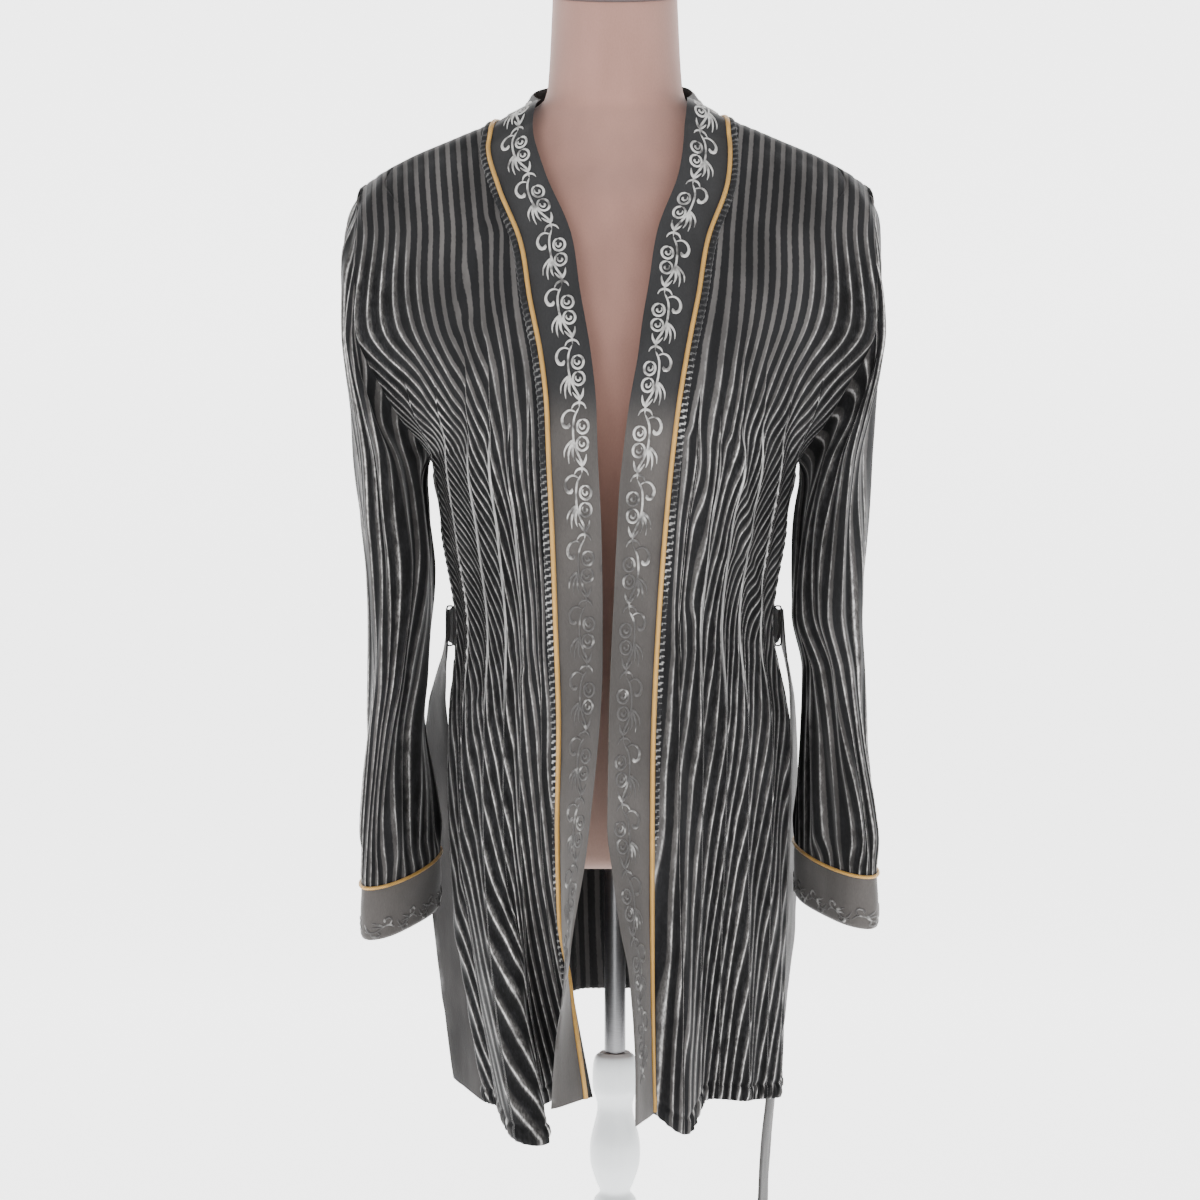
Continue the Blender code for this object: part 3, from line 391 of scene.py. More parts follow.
def ridge_z(side, x):
    """Height of the shoulder line above a distance from the middle."""
    heights = np.linspace(NECK_Z[side] + 0.004, TIP_Z, 900)
    return np.interp(x, HALF[side](heights), heights)


def panel_z(side, share, row, hem):
    """Height on a panel: the rows crowd at the shoulder tip and at the underarm."""
    neck_x = HALF[side](NECK_Z[side])
    top = ridge_z(side, neck_x + (HALF[side](TIP_Z) - neck_x) * share)
    top = np.where(share <= 0, NECK_Z[side], np.where(share >= 1, TIP_Z, top))
    turn = np.clip(row / ARMHOLE_ROWS, 0, 1)
    upper = top + (UNDERARM_Z - top) * (1 - np.cos(np.pi * turn)) / 2
    skirt = np.interp(row - ARMHOLE_ROWS, np.arange(len(SKIRT_DROPS)), SKIRT_DROPS)
    lower = UNDERARM_Z + (hem - UNDERARM_Z) * skirt
    return np.where(row <= ARMHOLE_ROWS, upper, lower)


def shoulder_part(side, share, z, start):
    """Share of a section's width: straight down from the shoulder, then evenly spread."""
    neck_x = HALF[side](NECK_Z[side])
    tip_x = HALF[side](TIP_Z)
    ridge_x = neck_x + (tip_x - neck_x) * share
    half = HALF[side](z)
    straight = np.clip((ridge_x - start) / np.maximum(half - start, 1e-6), 0, 1)
    return share + (straight - share) * ease((z - SPREAD_Z) / (STRAIGHT_Z - SPREAD_Z))


def spread(first, part, z):
    """Even spread of the columns between a section's first column and its edge."""
    start = np.arcsin(np.clip(first, 0, 1) ** (ROUND / 2))
    angle = start + (np.pi / 2 - start) * part
    flat = flatness(z)
    even = first + (1 - first) * part
    return np.minimum((1 - flat) * np.sin(angle) ** (2 / ROUND) + flat * even, 1)


def folds(panel, share, z, hem):
    """Rise of the skirt's soft folds."""
    rise = 0 * z
    for fold in FOLDS[panel]:
        grow = ease((fold.top - z) / (fold.top - hem))
        rise = rise + fold.rise * grow * np.exp(-((share - fold.share) / fold.width) ** 2)
    return rise


def front_base(side, share, z):
    """The front before its folds and its rolled corner."""
    first = np.minimum(SEAM[side](z) / HALF[side](z), 1)
    part = shoulder_part(side, share, z, SEAM[side](z))
    return body_point(side, -1, spread(first, part, z), z)


def front_point(side, share, row):
    """A point of a front panel: share from the band seam, row from the shoulder."""
    panel = "front_" + SIDE_NAME[side]
    hem = Profile(HEM[panel], "share", "z")(share)
    z = panel_z(side, share, row, hem)
    point = front_base(side, share, z)
    away = unit(point * [1, 1, 0])
    point = point + away * folds(panel, share, z, hem)[..., None]
    if side == -1:
        rolled = [Profile(CORNER, "share", axis)(share) for axis in ("x", "y")]
        flat = front_base(side, share, hem)
        keep = 1 - ease((share - CORNER_END + CORNER_FADE) / CORNER_FADE)
        grow = keep * ease((CORNER_TOP - z) / (CORNER_TOP - hem))
        for axis in (0, 1):
            point[..., axis] += grow * (rolled[axis] - flat[..., axis])
    return point


def back_point(share, row):
    """A point of the back: share runs from -1 at one side seam to 1 at the other."""
    halves = []
    for side in (-1, 1):
        part = np.abs(share)
        over = np.clip((part - NECK_SHARE) / (1 - NECK_SHARE), 0, 1)
        hem = Profile(HEM["back"], "share", "z")(part)
        z = panel_z(side, over, row, hem)
        neck_z = NECK_Z[side] + (NECK_BACK_Z - NECK_Z[side]) * ease(1 - part / NECK_SHARE)
        drop = (NECK_Z[side] - z) / (NECK_Z[side] - UNDERARM_Z)
        z = np.where(part < NECK_SHARE, z + (neck_z - NECK_Z[side]) * np.clip(1 - drop, 0, 1), z)
        hang = shoulder_part(side, over, z, 0 * z)
        even = np.where(part < NECK_SHARE, part / NECK_SHARE * shoulder_part(side, 0 * z, z, 0 * z),
                        hang)
        high = ease((z - SPREAD_Z) / (STRAIGHT_Z - SPREAD_Z))
        across = spread(0 * z, part + (even - part) * high, z)
        point = body_point(side, 1, across, z)
        rise = folds("back", part, z, hem)
        halves.append(point + unit(point * [1, 1, 0]) * rise[..., None])
    return np.where((share < 0)[..., None], halves[0], halves[1])


def sleeve_section(side, angle, z):
    """A hanging sleeve's section: angle 0 is its outer side and 90 degrees its front."""
    outer, inner, middle, depth, turn = (
        Profile(SLEEVE[side], "z", name)(z) for name in Sleeve._fields[1:])
    thick = (outer - inner) / 2 * np.cos(angle)
    deep = -depth * np.sin(angle)
    turn = np.radians(turn)
    x = (outer + inner) / 2 + thick * np.cos(turn) - deep * np.sin(turn)
    y = middle + deep * np.cos(turn) + thick * np.sin(turn)
    return np.stack([side * x, y], axis=-1)


def sleeve_point(side, angle, drop, loop):
    """A point of a sleeve, from its place on the armhole loop down to the cuff seam."""
    end = CUFF_TOP[side] - CUFF_SLANT * Profile(SLEEVE[side], "z", "depth")(CUFF_LEVEL) * np.sin(angle)
    z = loop[..., 2] + (end - loop[..., 2]) * drop ** SLEEVE_PACE
    reach = 0.032 + 0.028 * np.sin(angle) ** 2
    settle = 1 - (1 - np.clip((loop[..., 2] - z) / reach, 0, 1)) ** 2
    across = loop[..., :2] + (sleeve_section(side, angle, z) - loop[..., :2]) * settle[..., None]
    return np.concatenate([across, z[..., None]], axis=-1)


def armhole_way(side, angle):
    """The way a wall's edge faces along the armhole seam."""
    out = side * 0.50 * np.clip(np.cos(angle), 0, 1) ** 4
    return unit(np.stack([out, -np.sin(angle), np.cos(angle)], axis=-1))


def grid_ways(points):
    """The outward way at each point of a grid, from its neighbours."""
    return unit(np.cross(np.gradient(points, axis=0), np.gradient(points, axis=1)))


def ring_ways(points):
    """The same round a sleeve, where the last column is the first again."""
    once = points[:, :-1]
    around = np.concatenate([once[:, -1:], once, once[:, :1]], axis=1)
    ways = unit(np.cross(np.gradient(once, axis=0), np.gradient(around, axis=1)[:, 1:-1]))
    return np.concatenate([ways, ways[:, :1]], axis=1)


# Ribs across a front by height, across half of the back, and round a sleeve
FRONT_DENSITY = ([0.54, 0.85, 1.07, 1.20], [15.0, 12.0, 11.5, 11.5])
BACK_DENSITY = 21.0
SLEEVE_DENSITY = 27

# Gathers of a front, each from its share on: ribs that slide in above the bust, beside the
# waist and down the skirt
Gather = namedtuple("Gather", "share upper middle lower")
GATHERS = {
    -1: [Gather(0.00, 0, 0, 2), Gather(0.08, 0, 2, 5), Gather(0.17, 1, 6, 8),
         Gather(0.27, 1, 17, 9), Gather(0.40, 2, 27, 8), Gather(0.58, 3, 29, 8),
         Gather(0.79, 3, 29, 8)],
    1: [Gather(0.00, 0, 0, 2), Gather(0.09, 0, 1, 4), Gather(0.19, 0, 5, 6),
        Gather(0.30, 1, 11, 7), Gather(0.42, 2, 18, 7), Gather(0.58, 3, 21, 7),
        Gather(0.78, 3, 21, 7)],
}
GATHER_STARTS = {side: np.array([row.share for row in rows] + [1.0])
                 for side, rows in GATHERS.items()}
GATHER_TOP = 1.15
SHOULDER_PITCH = 0.0092      # from rib to rib over the shoulder
SHOULDER_LEAN = 0.11         # ribs lean in by this per metre down

# Creases of a front, from one end to the other: how high they stand, and how far the ribs
# slip across them
Crease = namedtuple("Crease", "x z end_x end_z rise slip")
CREASES = {
    -1: [Crease(0.104, 1.262, 0.132, 1.163, 0.0026, 0.30),
         Crease(0.132, 1.172, 0.126, 1.080, 0.0020, 0.20),
         Crease(0.071, 0.90, 0.078, 0.62, 0.0035, 0.0),
         Crease(0.108, 0.88, 0.135, 0.60, 0.0022, 0.0)],
    1: [Crease(0.095, 1.085, 0.105, 0.985, 0.0028, 0.40),
        Crease(0.105, 0.990, 0.121, 0.900, 0.0028, 0.40),
        Crease(0.062, 1.09, 0.070, 0.93, 0.0022, 0.35),
        Crease(0.048, 0.92, 0.052, 0.60, 0.0030, 0.0)],
}
GATHER_END = 0.88
FRONT_WIDTH = 0.17           # across the cloth, about
GATHER_BEND = 1.2            # ribs by which a gather's lines bend along its edges
BUST_Z = 1.10                # the band's painted shade begins above here

HEM_DEPTH = 0.012
HEM_ZONE = 0.016             # the lowest rows lie closest
EMBROIDERY_REPEAT = 0.0510
EMBROIDERY_MARGIN = 0.0035
SCROLL_REPEAT = 0.028
SCROLL_MARGIN = 0.0015
STITCH_SINK = 0.00015        # of a stroke's edges into the cloth
PIPING_STEP = 0.0016


def drift(u, v, seed):
    """Smooth unevenness from -1 to 1 over two coordinates, the same on every run."""
    lattice = np.random.default_rng(seed).uniform(-1, 1, (64, 64))
    row, column = np.floor(u).astype(int), np.floor(v).astype(int)
    s, t = ease(u - row), ease(v - column)
    corners = [lattice[(row + i) % 64, (column + j) % 64] for i in (0, 1) for j in (0, 1)]
    near = corners[0] * (1 - t) + corners[1] * t
    far = corners[2] * (1 - t) + corners[3] * t
    return near * (1 - s) + far * s


def gather_place(side, share):
    """Which gather a share lies in, and its place from 0 to 1 across it."""
    starts = GATHER_STARTS[side]
    cell = np.clip(np.searchsorted(starts, share, side="right") - 1, 0, len(starts) - 2)
    return cell, (share - starts[cell]) / (starts[cell + 1] - starts[cell])


def gather_strength(z):
    """How far the gathers are drawn up, 1 between the bust and the waist."""
    return ease((GATHER_TOP - 0.01 - z) / 0.10) * ease((z - GATHER_END + 0.05) / 0.08)


def crease_place(crease, x, z):
    """Distance off a crease's line, and 1 along it fading to 0 at its ends."""
    run = np.array([crease.end_x - crease.x, crease.end_z - crease.z])
    size = np.hypot(*run)
    run = run / size
    along = (x - crease.x) * run[0] + (z - crease.z) * run[1]
    off = (x - crease.x) * run[1] - (z - crease.z) * run[0]
    return off, ease(along / 0.015) * ease((size - along) / 0.02)


def front_ribs(side, share, x, z):
    """Rib number on a front: whole numbers are the middles of the light stripes."""
    rows = GATHERS[side]
    cell, within = gather_place(side, share)
    starts = GATHER_STARTS[side]
    middles = (starts[:-1] + starts[1:]) / 2
    hanging = (x - 0.080 + SHOULDER_LEAN * (1.29 - z)) / SHOULDER_PITCH
    upper = np.interp(share, middles, [row.upper for row in rows]) * ease((1.29 - z) / 0.17)
    slide = ease((GATHER_TOP + 0.02 - z) / (GATHER_TOP - GATHER_END + 0.03))
    middle = np.array([row.middle for row in rows])[cell] * slide
    lower = np.interp(share, middles, [row.lower for row in rows])
    lower = lower * np.clip((0.91 - z) / 0.37, 0, 1)
    bend = np.tan(1.30 * (2 * within - 1)) / math.tan(1.30) * GATHER_BEND * gather_strength(z)
    uneven = 0.22 * drift(share * 9 + 3, z * 22, 5 + side) * ease((1.18 - z) / 0.1)
    drawn = np.interp(z, *FRONT_DENSITY) * share + upper
    ribs = hanging + (drawn - hanging) * ease((1.255 - z) / 0.11) + middle + lower + bend + uneven
    for crease in CREASES[side]:
        off, near = crease_place(crease, x, z)
        ribs = ribs + crease.slip * near * ease(off / 0.014 + 0.5) * ease((0.03 - off) / 0.02)
    return ribs


def front_crush_and_sheen(side, share, z):
    """How much a front's stripes are crushed to ridges, which carry painted silver sheen; along each
    gather's edge it passes 1, for a painted highlight line.
    """
    low = ease((1.19 - z) / 0.14) * (0.55 + 0.45 * ease((share - 0.08) / 0.2))
    drag = ease((share - 0.50) / 0.35) * ease((1.27 - z) / 0.07)
    patch = 0.25 * drift(share * 7, z * 12, 61 + side) * ease((1.2 - z) / 0.1)
    cell, within = gather_place(side, share)
    off = np.minimum(within, 1 - within) * np.diff(GATHER_STARTS[side])[cell] * FRONT_WIDTH
    # painted highlight: a bright line along each gather's edge, between the bust and the waist
    lit = 0.62 * np.exp(-(off / 0.0010) ** 2) * gather_strength(z) * (share > 0.05)
    return np.clip(np.maximum(low, drag) + patch, 0, 1) + lit * (share < 0.95)


def front_rise(side, share, x, z):
    """Height of a front's gathers and soft creases off its smooth surface."""
    cell, within = gather_place(side, share)
    strength = gather_strength(z)
    crest = 1 - np.abs(np.sin(np.pi * within)) ** 0.8
    rise = 0.0030 * strength * crest * np.where(cell > 0, 1, 0.3)
    skirt = ease((0.93 - z) / 0.12)
    rise = rise + 0.0020 * skirt * crest
    soft = drift(share * 11, z * 5, 21 + side)
    rise = rise + 0.0014 * soft * ease((1.24 - z) / 0.1)
    for crease in CREASES[side]:
        off, near = crease_place(crease, x, z)
        rise = rise + crease.rise * near * np.exp(-(off / 0.005) ** 2)
    return rise


def stripe_rise(ribs, crush_and_sheen, rise):
    """Relief of the stripes: flat pile ribs, or narrow crushed ridges."""
    wave = 0.5 + 0.5 * np.cos(2 * np.pi * ribs)
    pile = ease((1 - wave - 0.15) / 0.4)
    pace = np.maximum(*(np.abs(np.gradient(ribs, axis=axis)) for axis in (0, 1)))
    clear = ease((0.34 - pace) / 0.16)
    crush_and_sheen = np.minimum(crush_and_sheen, 1)
    return rise * clear * ((1 - crush_and_sheen) * 0.45 * pile + crush_and_sheen * wave ** 2)


def edge_fade(share, row, last):
    """1 on the cloth and 0 along its seams."""
    return (ease(np.minimum(share, 1 - share) / 0.018) * ease(row / 0.12)
            * ease((last - row) / 0.03))


def hem_relief(share, height):
    """The turned hem: a stitched groove, and small upright puckers under it."""
    groove = np.exp(-((height - HEM_DEPTH) / 0.0018) ** 2)
    below = ease((HEM_DEPTH - height) / 0.003)
    return -0.0011 * groove + below * (0.0004 + 0.0008 * np.cos(2 * np.pi * share * 45))


UPPER_DROP = 0.228           # from the shoulder's tip to the underarm
SKIRT_DROP = 0.49
WAIST_DROP = 0.19            # below the underarm
ROW_DROP = np.array([UPPER_DROP * (1 - math.cos(math.pi * row / ARMHOLE_ROWS)) / 2
                     for row in range(ARMHOLE_ROWS)]
                    + [UPPER_DROP + SKIRT_DROP * drop for drop in SKIRT_DROPS])


def fine_rows(upper, waist, lower):
    """Rows of a panel, closer than the source's: to the underarm, to the waist, to the hem."""
    underarm, hem = ROW_DROP[ARMHOLE_ROWS], ROW_DROP[-1]
    turn, low = underarm + WAIST_DROP, hem - HEM_ZONE
    drops = np.concatenate([np.linspace(0, underarm, upper), np.linspace(underarm, turn, waist)[1:],
                            np.linspace(turn, low, lower - 10)[1:],
                            np.linspace(low, hem, 11)[1:]])
    return np.interp(drops, ROW_DROP, np.arange(PANEL_ROWS + 1.0))


def smooth_panel(place, share, rows):
    """A panel's points at columns and rows, on smooth curves through the source's rows."""
    knots = place(*np.meshgrid(share, np.arange(PANEL_ROWS + 1.0)))
    slope = np.gradient(knots, ROW_DROP, axis=0)
    cell = np.clip(rows.astype(int), 0, PANEL_ROWS - 1)
    t = (rows - cell)[:, None, None]
    gap = (ROW_DROP[cell + 1] - ROW_DROP[cell])[:, None, None]
    return (knots[cell] * (1 + 2 * t) * (1 - t) ** 2 + slope[cell] * gap * t * (1 - t) ** 2
            + knots[cell + 1] * t * t * (3 - 2 * t) + slope[cell + 1] * gap * t * t * (t - 1))


def shoulder_way(side):
    """The way the wall's edge faces along the shoulder seam."""
    return unit(np.array([side * 0.50, 0.0, 1.0]))


def lay(bm, points, place=None):
    """Adds a grid of points to a bmesh, with its places, and returns its vertices by row."""
    rows, columns = points.shape[:2]
    made = len(bm.faces)
    verts = bmesh.ops.create_grid(bm, x_segments=columns - 1, y_segments=rows - 1,
                                  size=1)["verts"]
    for vert, point in zip(verts, points.reshape(-1, 3)):
        vert.co = point
    if place is not None:
        layer = bm.loops.layers.float_vector["place"]
        place = place.reshape(-1, 3).tolist()
        bm.verts.index_update()
        first = verts[0].index
        bm.faces.ensure_lookup_table()
        for face in bm.faces[made:]:
            for loop in face.loops:
                loop[layer] = place[loop.vert.index - first]
    return [verts[row * columns:(row + 1) * columns] for row in range(rows)]


def rim(bm, near, far):
    """Closes a wall between two edges, the far one with fewer points."""
    step = (len(near) - 1) // (len(far) - 1)
    for place in range(len(far) - 1):
        run = near[place * step:(place + 1) * step + 1]
        bm.faces.new(run + [far[place + 1], far[place]])


def stamped(*parts):
    """Three arrays as the places that a finish reads."""
    return np.stack(np.broadcast_arrays(*parts), axis=-1)


def new_mesh(name, bm, finish, angle=80):
    """Links a bmesh as a finished piece."""
    bmesh.ops.recalc_face_normals(bm, faces=bm.faces)
    mesh = bpy.data.meshes.new(name)
    bm.to_mesh(mesh)
    bm.free()
    mesh.shade_smooth()
    mesh.set_sharp_from_angle(angle=math.radians(angle))
    mesh.materials.append(finish)
    made = bpy.data.objects.new(name, mesh)
    bpy.context.scene.collection.objects.link(made)
    return made


def shell(name, outer, lining, place, finish, ring=False):
    """A closed piece of cloth from its outer grid and its lining's."""
    bm = bmesh.new()
    bm.loops.layers.float_vector.new("place")
    skin = lay(bm, outer, place)
    # the lining's places carry -1 in their middle part, which the ribbed finish reads as its painted shade
    inside = lay(bm, lining, None if place is None else place[::2, ::2] * (1, 0, 1) - (0, 1, 0))
    rim(bm, skin[0], inside[0])
    rim(bm, skin[-1], inside[-1])
    if ring:
        bmesh.ops.remove_doubles(bm, verts=bm.verts, dist=1e-6)
    else:
        rim(bm, [row[0] for row in skin], [row[0] for row in inside])
        rim(bm, [row[-1] for row in skin], [row[-1] for row in inside])
    return new_mesh(name, bm, finish)


def finish_piece(piece, slot, *nodes):
    """Hangs a piece on the model in place of its plain solids."""
    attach(piece, "root")
    if nodes:
        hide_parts(*nodes)


def declare_sheet(piece, length=None):
    """Works out a hung piece's length: the one given, or its height if not told. Nothing more is done with
    it.
    """
    length = length or float(np.ptp([vert.co.z for vert in piece.data.vertices]))


def ribbed_piece(part, base, ways, relief, place, ring=False):
    """A piece of the ribbed velvet: relief on its face, and a plain lining behind it."""
    wall = bpy.context.scene.robe_velvet.wall
    piece = shell(f"robe_{part}", base + ways * relief[..., None], (base - ways * wall)[::2, ::2],
                  place, finish_of("ribbed_velvet"), ring=ring)
    finish_piece(piece, "ribbed_velvet", part)
    declare_sheet(piece)


def folded_piece(name, grid, ways, distance, wall, finish, nodes, ring=False):
    """A strip whose faces draw together at its folds, by the distance to them."""
    outer = round_edge(grid, ways, distance, wall)
    lining = round_edge(grid - ways * wall, -ways, distance, wall)
    piece = shell(name, outer, lining[::2, ::2], None, finish_of(finish), ring=ring)
    finish_piece(piece, "plain_velvet", *nodes)
    return piece


class Graph:
    """A material's or node group's tree, with short ways to add to it."""

    def __init__(self, tree):
        self.tree = tree

    def add(self, kind, inputs=(), **settings):
        """A node with its settings, and its inputs as numbers, colours or sockets."""
        node = self.tree.nodes.new(kind)
        for key, value in settings.items():
            setattr(node, key, value)
        for key, value in dict(inputs).items():
            self.feed(node.inputs[key], value)
        return node

    def feed(self, socket, value):
        """Sets a socket, or links it."""
        if isinstance(value, bpy.types.NodeSocket):
            self.tree.links.new(value, socket)
        else:
            socket.default_value = value

    def math(self, operation, *values):
        """The result of a Math node."""
        node = self.tree.nodes.new("ShaderNodeMath")
        node.operation = operation
        for socket, value in zip(node.inputs, values):
            self.feed(socket, value)
        return node.outputs[0]

    def scaled(self, value, by, plus):
        """A value times one number or value, plus another."""
        return self.math("MULTIPLY_ADD", value, by, plus)

    def times(self, one, other):
        """The product of two values."""
        return self.math("MULTIPLY", one, other)

    def mix(self, factor, low, high, blend="MIX"):
        """The result of a colour Mix node."""
        node = self.add("ShaderNodeMix", data_type="RGBA", blend_type=blend)
        for socket, value in zip((node.inputs[0], node.inputs[6], node.inputs[7]),
                                 (factor, low, high)):
            self.feed(socket, value)
        return node.outputs[2]

    def dim(self, tone, shade):
        """A colour darkened or lightened by a number."""
        grey = self.add("ShaderNodeCombineColor", {0: shade, 1: shade, 2: shade}).outputs[0]
        return self.mix(1.0, tone, grey, "MULTIPLY")

    def ramp(self, factor, *stops, curve="LINEAR"):
        """The colour of a ramp of (place, colour) stops."""
        node = self.add("ShaderNodeValToRGB", {"Fac": factor})
        node.color_ramp.interpolation = curve
        while len(node.color_ramp.elements) < len(stops):
            node.color_ramp.elements.new(1)
        for element, (place, color) in zip(node.color_ramp.elements, stops):
            element.position = place
            element.color = color
        return node.outputs[0]

    def step(self, value, low, high):
        """A smooth step of a value between two limits."""
        node = self.add("ShaderNodeMapRange", {"Value": value, "From Min": low, "From Max": high},
                        interpolation_type="SMOOTHSTEP")
        return node.outputs[0]

    def noise(self, vector, scale, detail=2.0, roughness=0.5):
        """The value of a Noise Texture."""
        return self.add("ShaderNodeTexNoise", {"Vector": vector, "Scale": scale,
                                               "Detail": detail, "Roughness": roughness}).outputs[0]

    def attribute(self, name):
        """The parts of a vertex attribute."""
        read = self.add("ShaderNodeAttribute", attribute_name=name)
        parts = self.add("ShaderNodeSeparateXYZ", {0: read.outputs["Vector"]})
        return parts.outputs

    def object_place(self):
        """Object coordinates."""
        return self.add("ShaderNodeTexCoord").outputs["Object"]

    def height(self):
        """Height in object coordinates."""
        return self.add("ShaderNodeSeparateXYZ", {0: self.object_place()}).outputs["Z"]

    def stretched(self, place, *scale):
        """Coordinates scaled along each axis."""
        return self.add("ShaderNodeMapping", {"Vector": place, "Scale": scale}).outputs[0]

    def group(self, tree, **inputs):
        """A node group placed with its inputs."""
        node = self.add("ShaderNodeGroup", node_tree=tree)
        for key, value in inputs.items():
            self.feed(node.inputs[key.replace("_", " ").capitalize()], value)
        return node.outputs

    def bump(self, height, distance, strength):
        """The normal of a Bump node."""
        return self.add("ShaderNodeBump", {"Height": height, "Distance": distance,
                                           "Strength": strength}).outputs[0]


def node_group(name, inputs, outputs):
    """A new node group and its input and output nodes."""
    tree = bpy.data.node_groups.new(name, "ShaderNodeTree")
    for label, kind, default in inputs:
        socket = tree.interface.new_socket(label, in_out="INPUT", socket_type=kind)
        if default is not None:
            socket.default_value = default
    for label, kind in outputs:
        tree.interface.new_socket(label, in_out="OUTPUT", socket_type=kind)
    graph = Graph(tree)
    return graph, graph.add("NodeGroupInput").outputs, graph.add("NodeGroupOutput").inputs


def pile_group():
    """Velvet pile: a fine fibre height, and the patches where it lies over."""
    name = "velvet pile"
    if name in bpy.data.node_groups:
        return bpy.data.node_groups[name]
    graph, given, out = node_group(
        name, [("Fibre scale", "NodeSocketFloat", 900.0), ("Patch scale", "NodeSocketFloat", 24.0)],
        [("Fibre", "NodeSocketFloat"), ("Patch", "NodeSocketFloat")])
    place = graph.object_place()
    flat = graph.stretched(place, 1.0, 1.0, 0.35)
    graph.feed(out["Fibre"], graph.noise(flat, given["Fibre scale"], 3.0, 0.65))
    graph.feed(out["Patch"], graph.noise(flat, given["Patch scale"], 3.0, 0.55))
    return graph.tree


def thread_group():
    """Threads laid side by side across a stroke: a height from the place along it."""
    name = "laid thread"
    if name in bpy.data.node_groups:
        return bpy.data.node_groups[name]
    graph, given, out = node_group(
        name, [("Along", "NodeSocketFloat", 0.0), ("Across", "NodeSocketFloat", 0.0),
               ("Pitch", "NodeSocketFloat", 0.0005), ("Slant", "NodeSocketFloat", 0.4)],
        [("Height", "NodeSocketFloat")])
    slanted = graph.math("ADD", given["Along"], graph.times(given["Across"], given["Slant"]))
    turns = graph.times(graph.math("DIVIDE", slanted, given["Pitch"]), 2 * math.pi)
    wave = graph.scaled(graph.math("SINE", turns), 0.5, 0.5)
    graph.feed(out["Height"], wave)
    return graph.tree


def new_material(name):
    """A material with its graph and its shader."""
    made = bpy.data.materials.new(name)
    made.use_nodes = True
    return made, Graph(made.node_tree), made.node_tree.nodes["Principled BSDF"]


def set_shader(shader, roughness=None, **values):
    """Sets the shader's own sockets by their names."""
    if roughness is not None:
        shader.inputs["Roughness"].default_value = roughness
    for key, value in values.items():
        shader.inputs[key.replace("_", " ").title().replace("Ior", "IOR")].default_value = value


def wire(graph, shader, tone, relief=None, distance=0.0, strength=0.0):
    """Feeds a finish's colour, and its relief as a normal."""
    graph.feed(shader.inputs["Base Color"], tone)
    if relief is not None:
        graph.feed(shader.inputs["Normal"], graph.bump(relief, distance, strength))


def ribbed_velvet():
    """Striped velvet: dark pile and grey ground, crushed to ridges in places, which carry a painted silver
    highlight on one flank and painted shade in the hollows; the lining is darkened as painted shade.
    """
    made, graph, shader = new_material("ribbed velvet")
    colors = bpy.context.scene.robe_velvet
    ribs, crush_and_sheen, along = graph.attribute("place")
    pile = graph.group(pile_group(), fibre_scale=700.0, patch_scale=26.0)
    turn = graph.scaled(graph.math("FRACT", graph.math("ADD", ribs, 0.5)), 2.0, -1.0)
    rough_edge = graph.scaled(pile["Fibre"], 0.34, -0.17)
    away = graph.math("ADD", graph.math("ABSOLUTE", turn), rough_edge)
    flat = graph.mix(graph.step(away, 0.32, 0.46), (*colors.ground, 1), (*colors.pile, 1))

    coords = graph.add("ShaderNodeCombineXYZ", {"X": ribs, "Y": along}).outputs[0]
    streak = graph.noise(graph.stretched(coords, 0.03, 1.0, 1.0), 60.0, 4.0, 0.6)
    across = graph.scaled(turn, 0.5, 0.5)
    across = graph.math("ADD", across, graph.scaled(streak, 0.16, -0.08))
    # painted light on the crushed ridges: a silver highlight on one flank, and painted shade darker than
    # the pile in the hollows beside it
    crushed_sheen = graph.ramp(across, (0.0, (0.006, 0.006, 0.0065, 1)), (0.30, (*colors.pile, 1)),
                         (0.44, (0.045, 0.043, 0.042, 1)), (0.57, (0.105, 0.100, 0.098, 1)),
                         (0.65, (*colors.crush_and_sheen, 1)), (0.72, (0.070, 0.067, 0.066, 1)),
                         (0.81, (0.010, 0.010, 0.0105, 1)), (1.0, (0.006, 0.006, 0.0065, 1)))
    flecks = graph.scaled(graph.step(pile["Fibre"], 0.35, 0.66), 0.80, 0.50)
    # streaks along the ribs that break up the painted sheen
    grain_and_sheen = graph.scaled(graph.step(streak, 0.38, 0.62), 0.75, 0.45)
    crushed_sheen = graph.dim(graph.dim(crushed_sheen, flecks), grain_and_sheen)
    tone = graph.mix(graph.math("MINIMUM", crush_and_sheen, 1.0), flat, crushed_sheen)
    # painted highlight: a silver line where the mask passes 1, along the gathers' edges
    crest = graph.times(graph.step(crush_and_sheen, 1.05, 1.7), grain_and_sheen)
    tone = graph.mix(crest, tone, (*colors.crush_and_sheen, 1))
    # painted shade: the lining, whose mask is below 0, is darkened
    tone = graph.dim(tone, graph.scaled(graph.step(crush_and_sheen, -0.2, -0.8), -0.72, 1.0))
    shade = graph.scaled(graph.step(pile["Patch"], 0.32, 0.68), 0.55, 0.70)
    tone = graph.dim(tone, shade)
    ridge = graph.times(graph.math("COSINE", graph.times(away, math.pi)),
                       graph.math("MINIMUM", crush_and_sheen, 1.0))
    relief = graph.scaled(pile["Fibre"], 0.5, ridge)
    wire(graph, shader, tone, relief, 0.0007, 0.7)
    set_shader(shader, 0.85, sheen_weight=0.2, sheen_roughness=0.35, specular_ior_level=0.15)
    return made


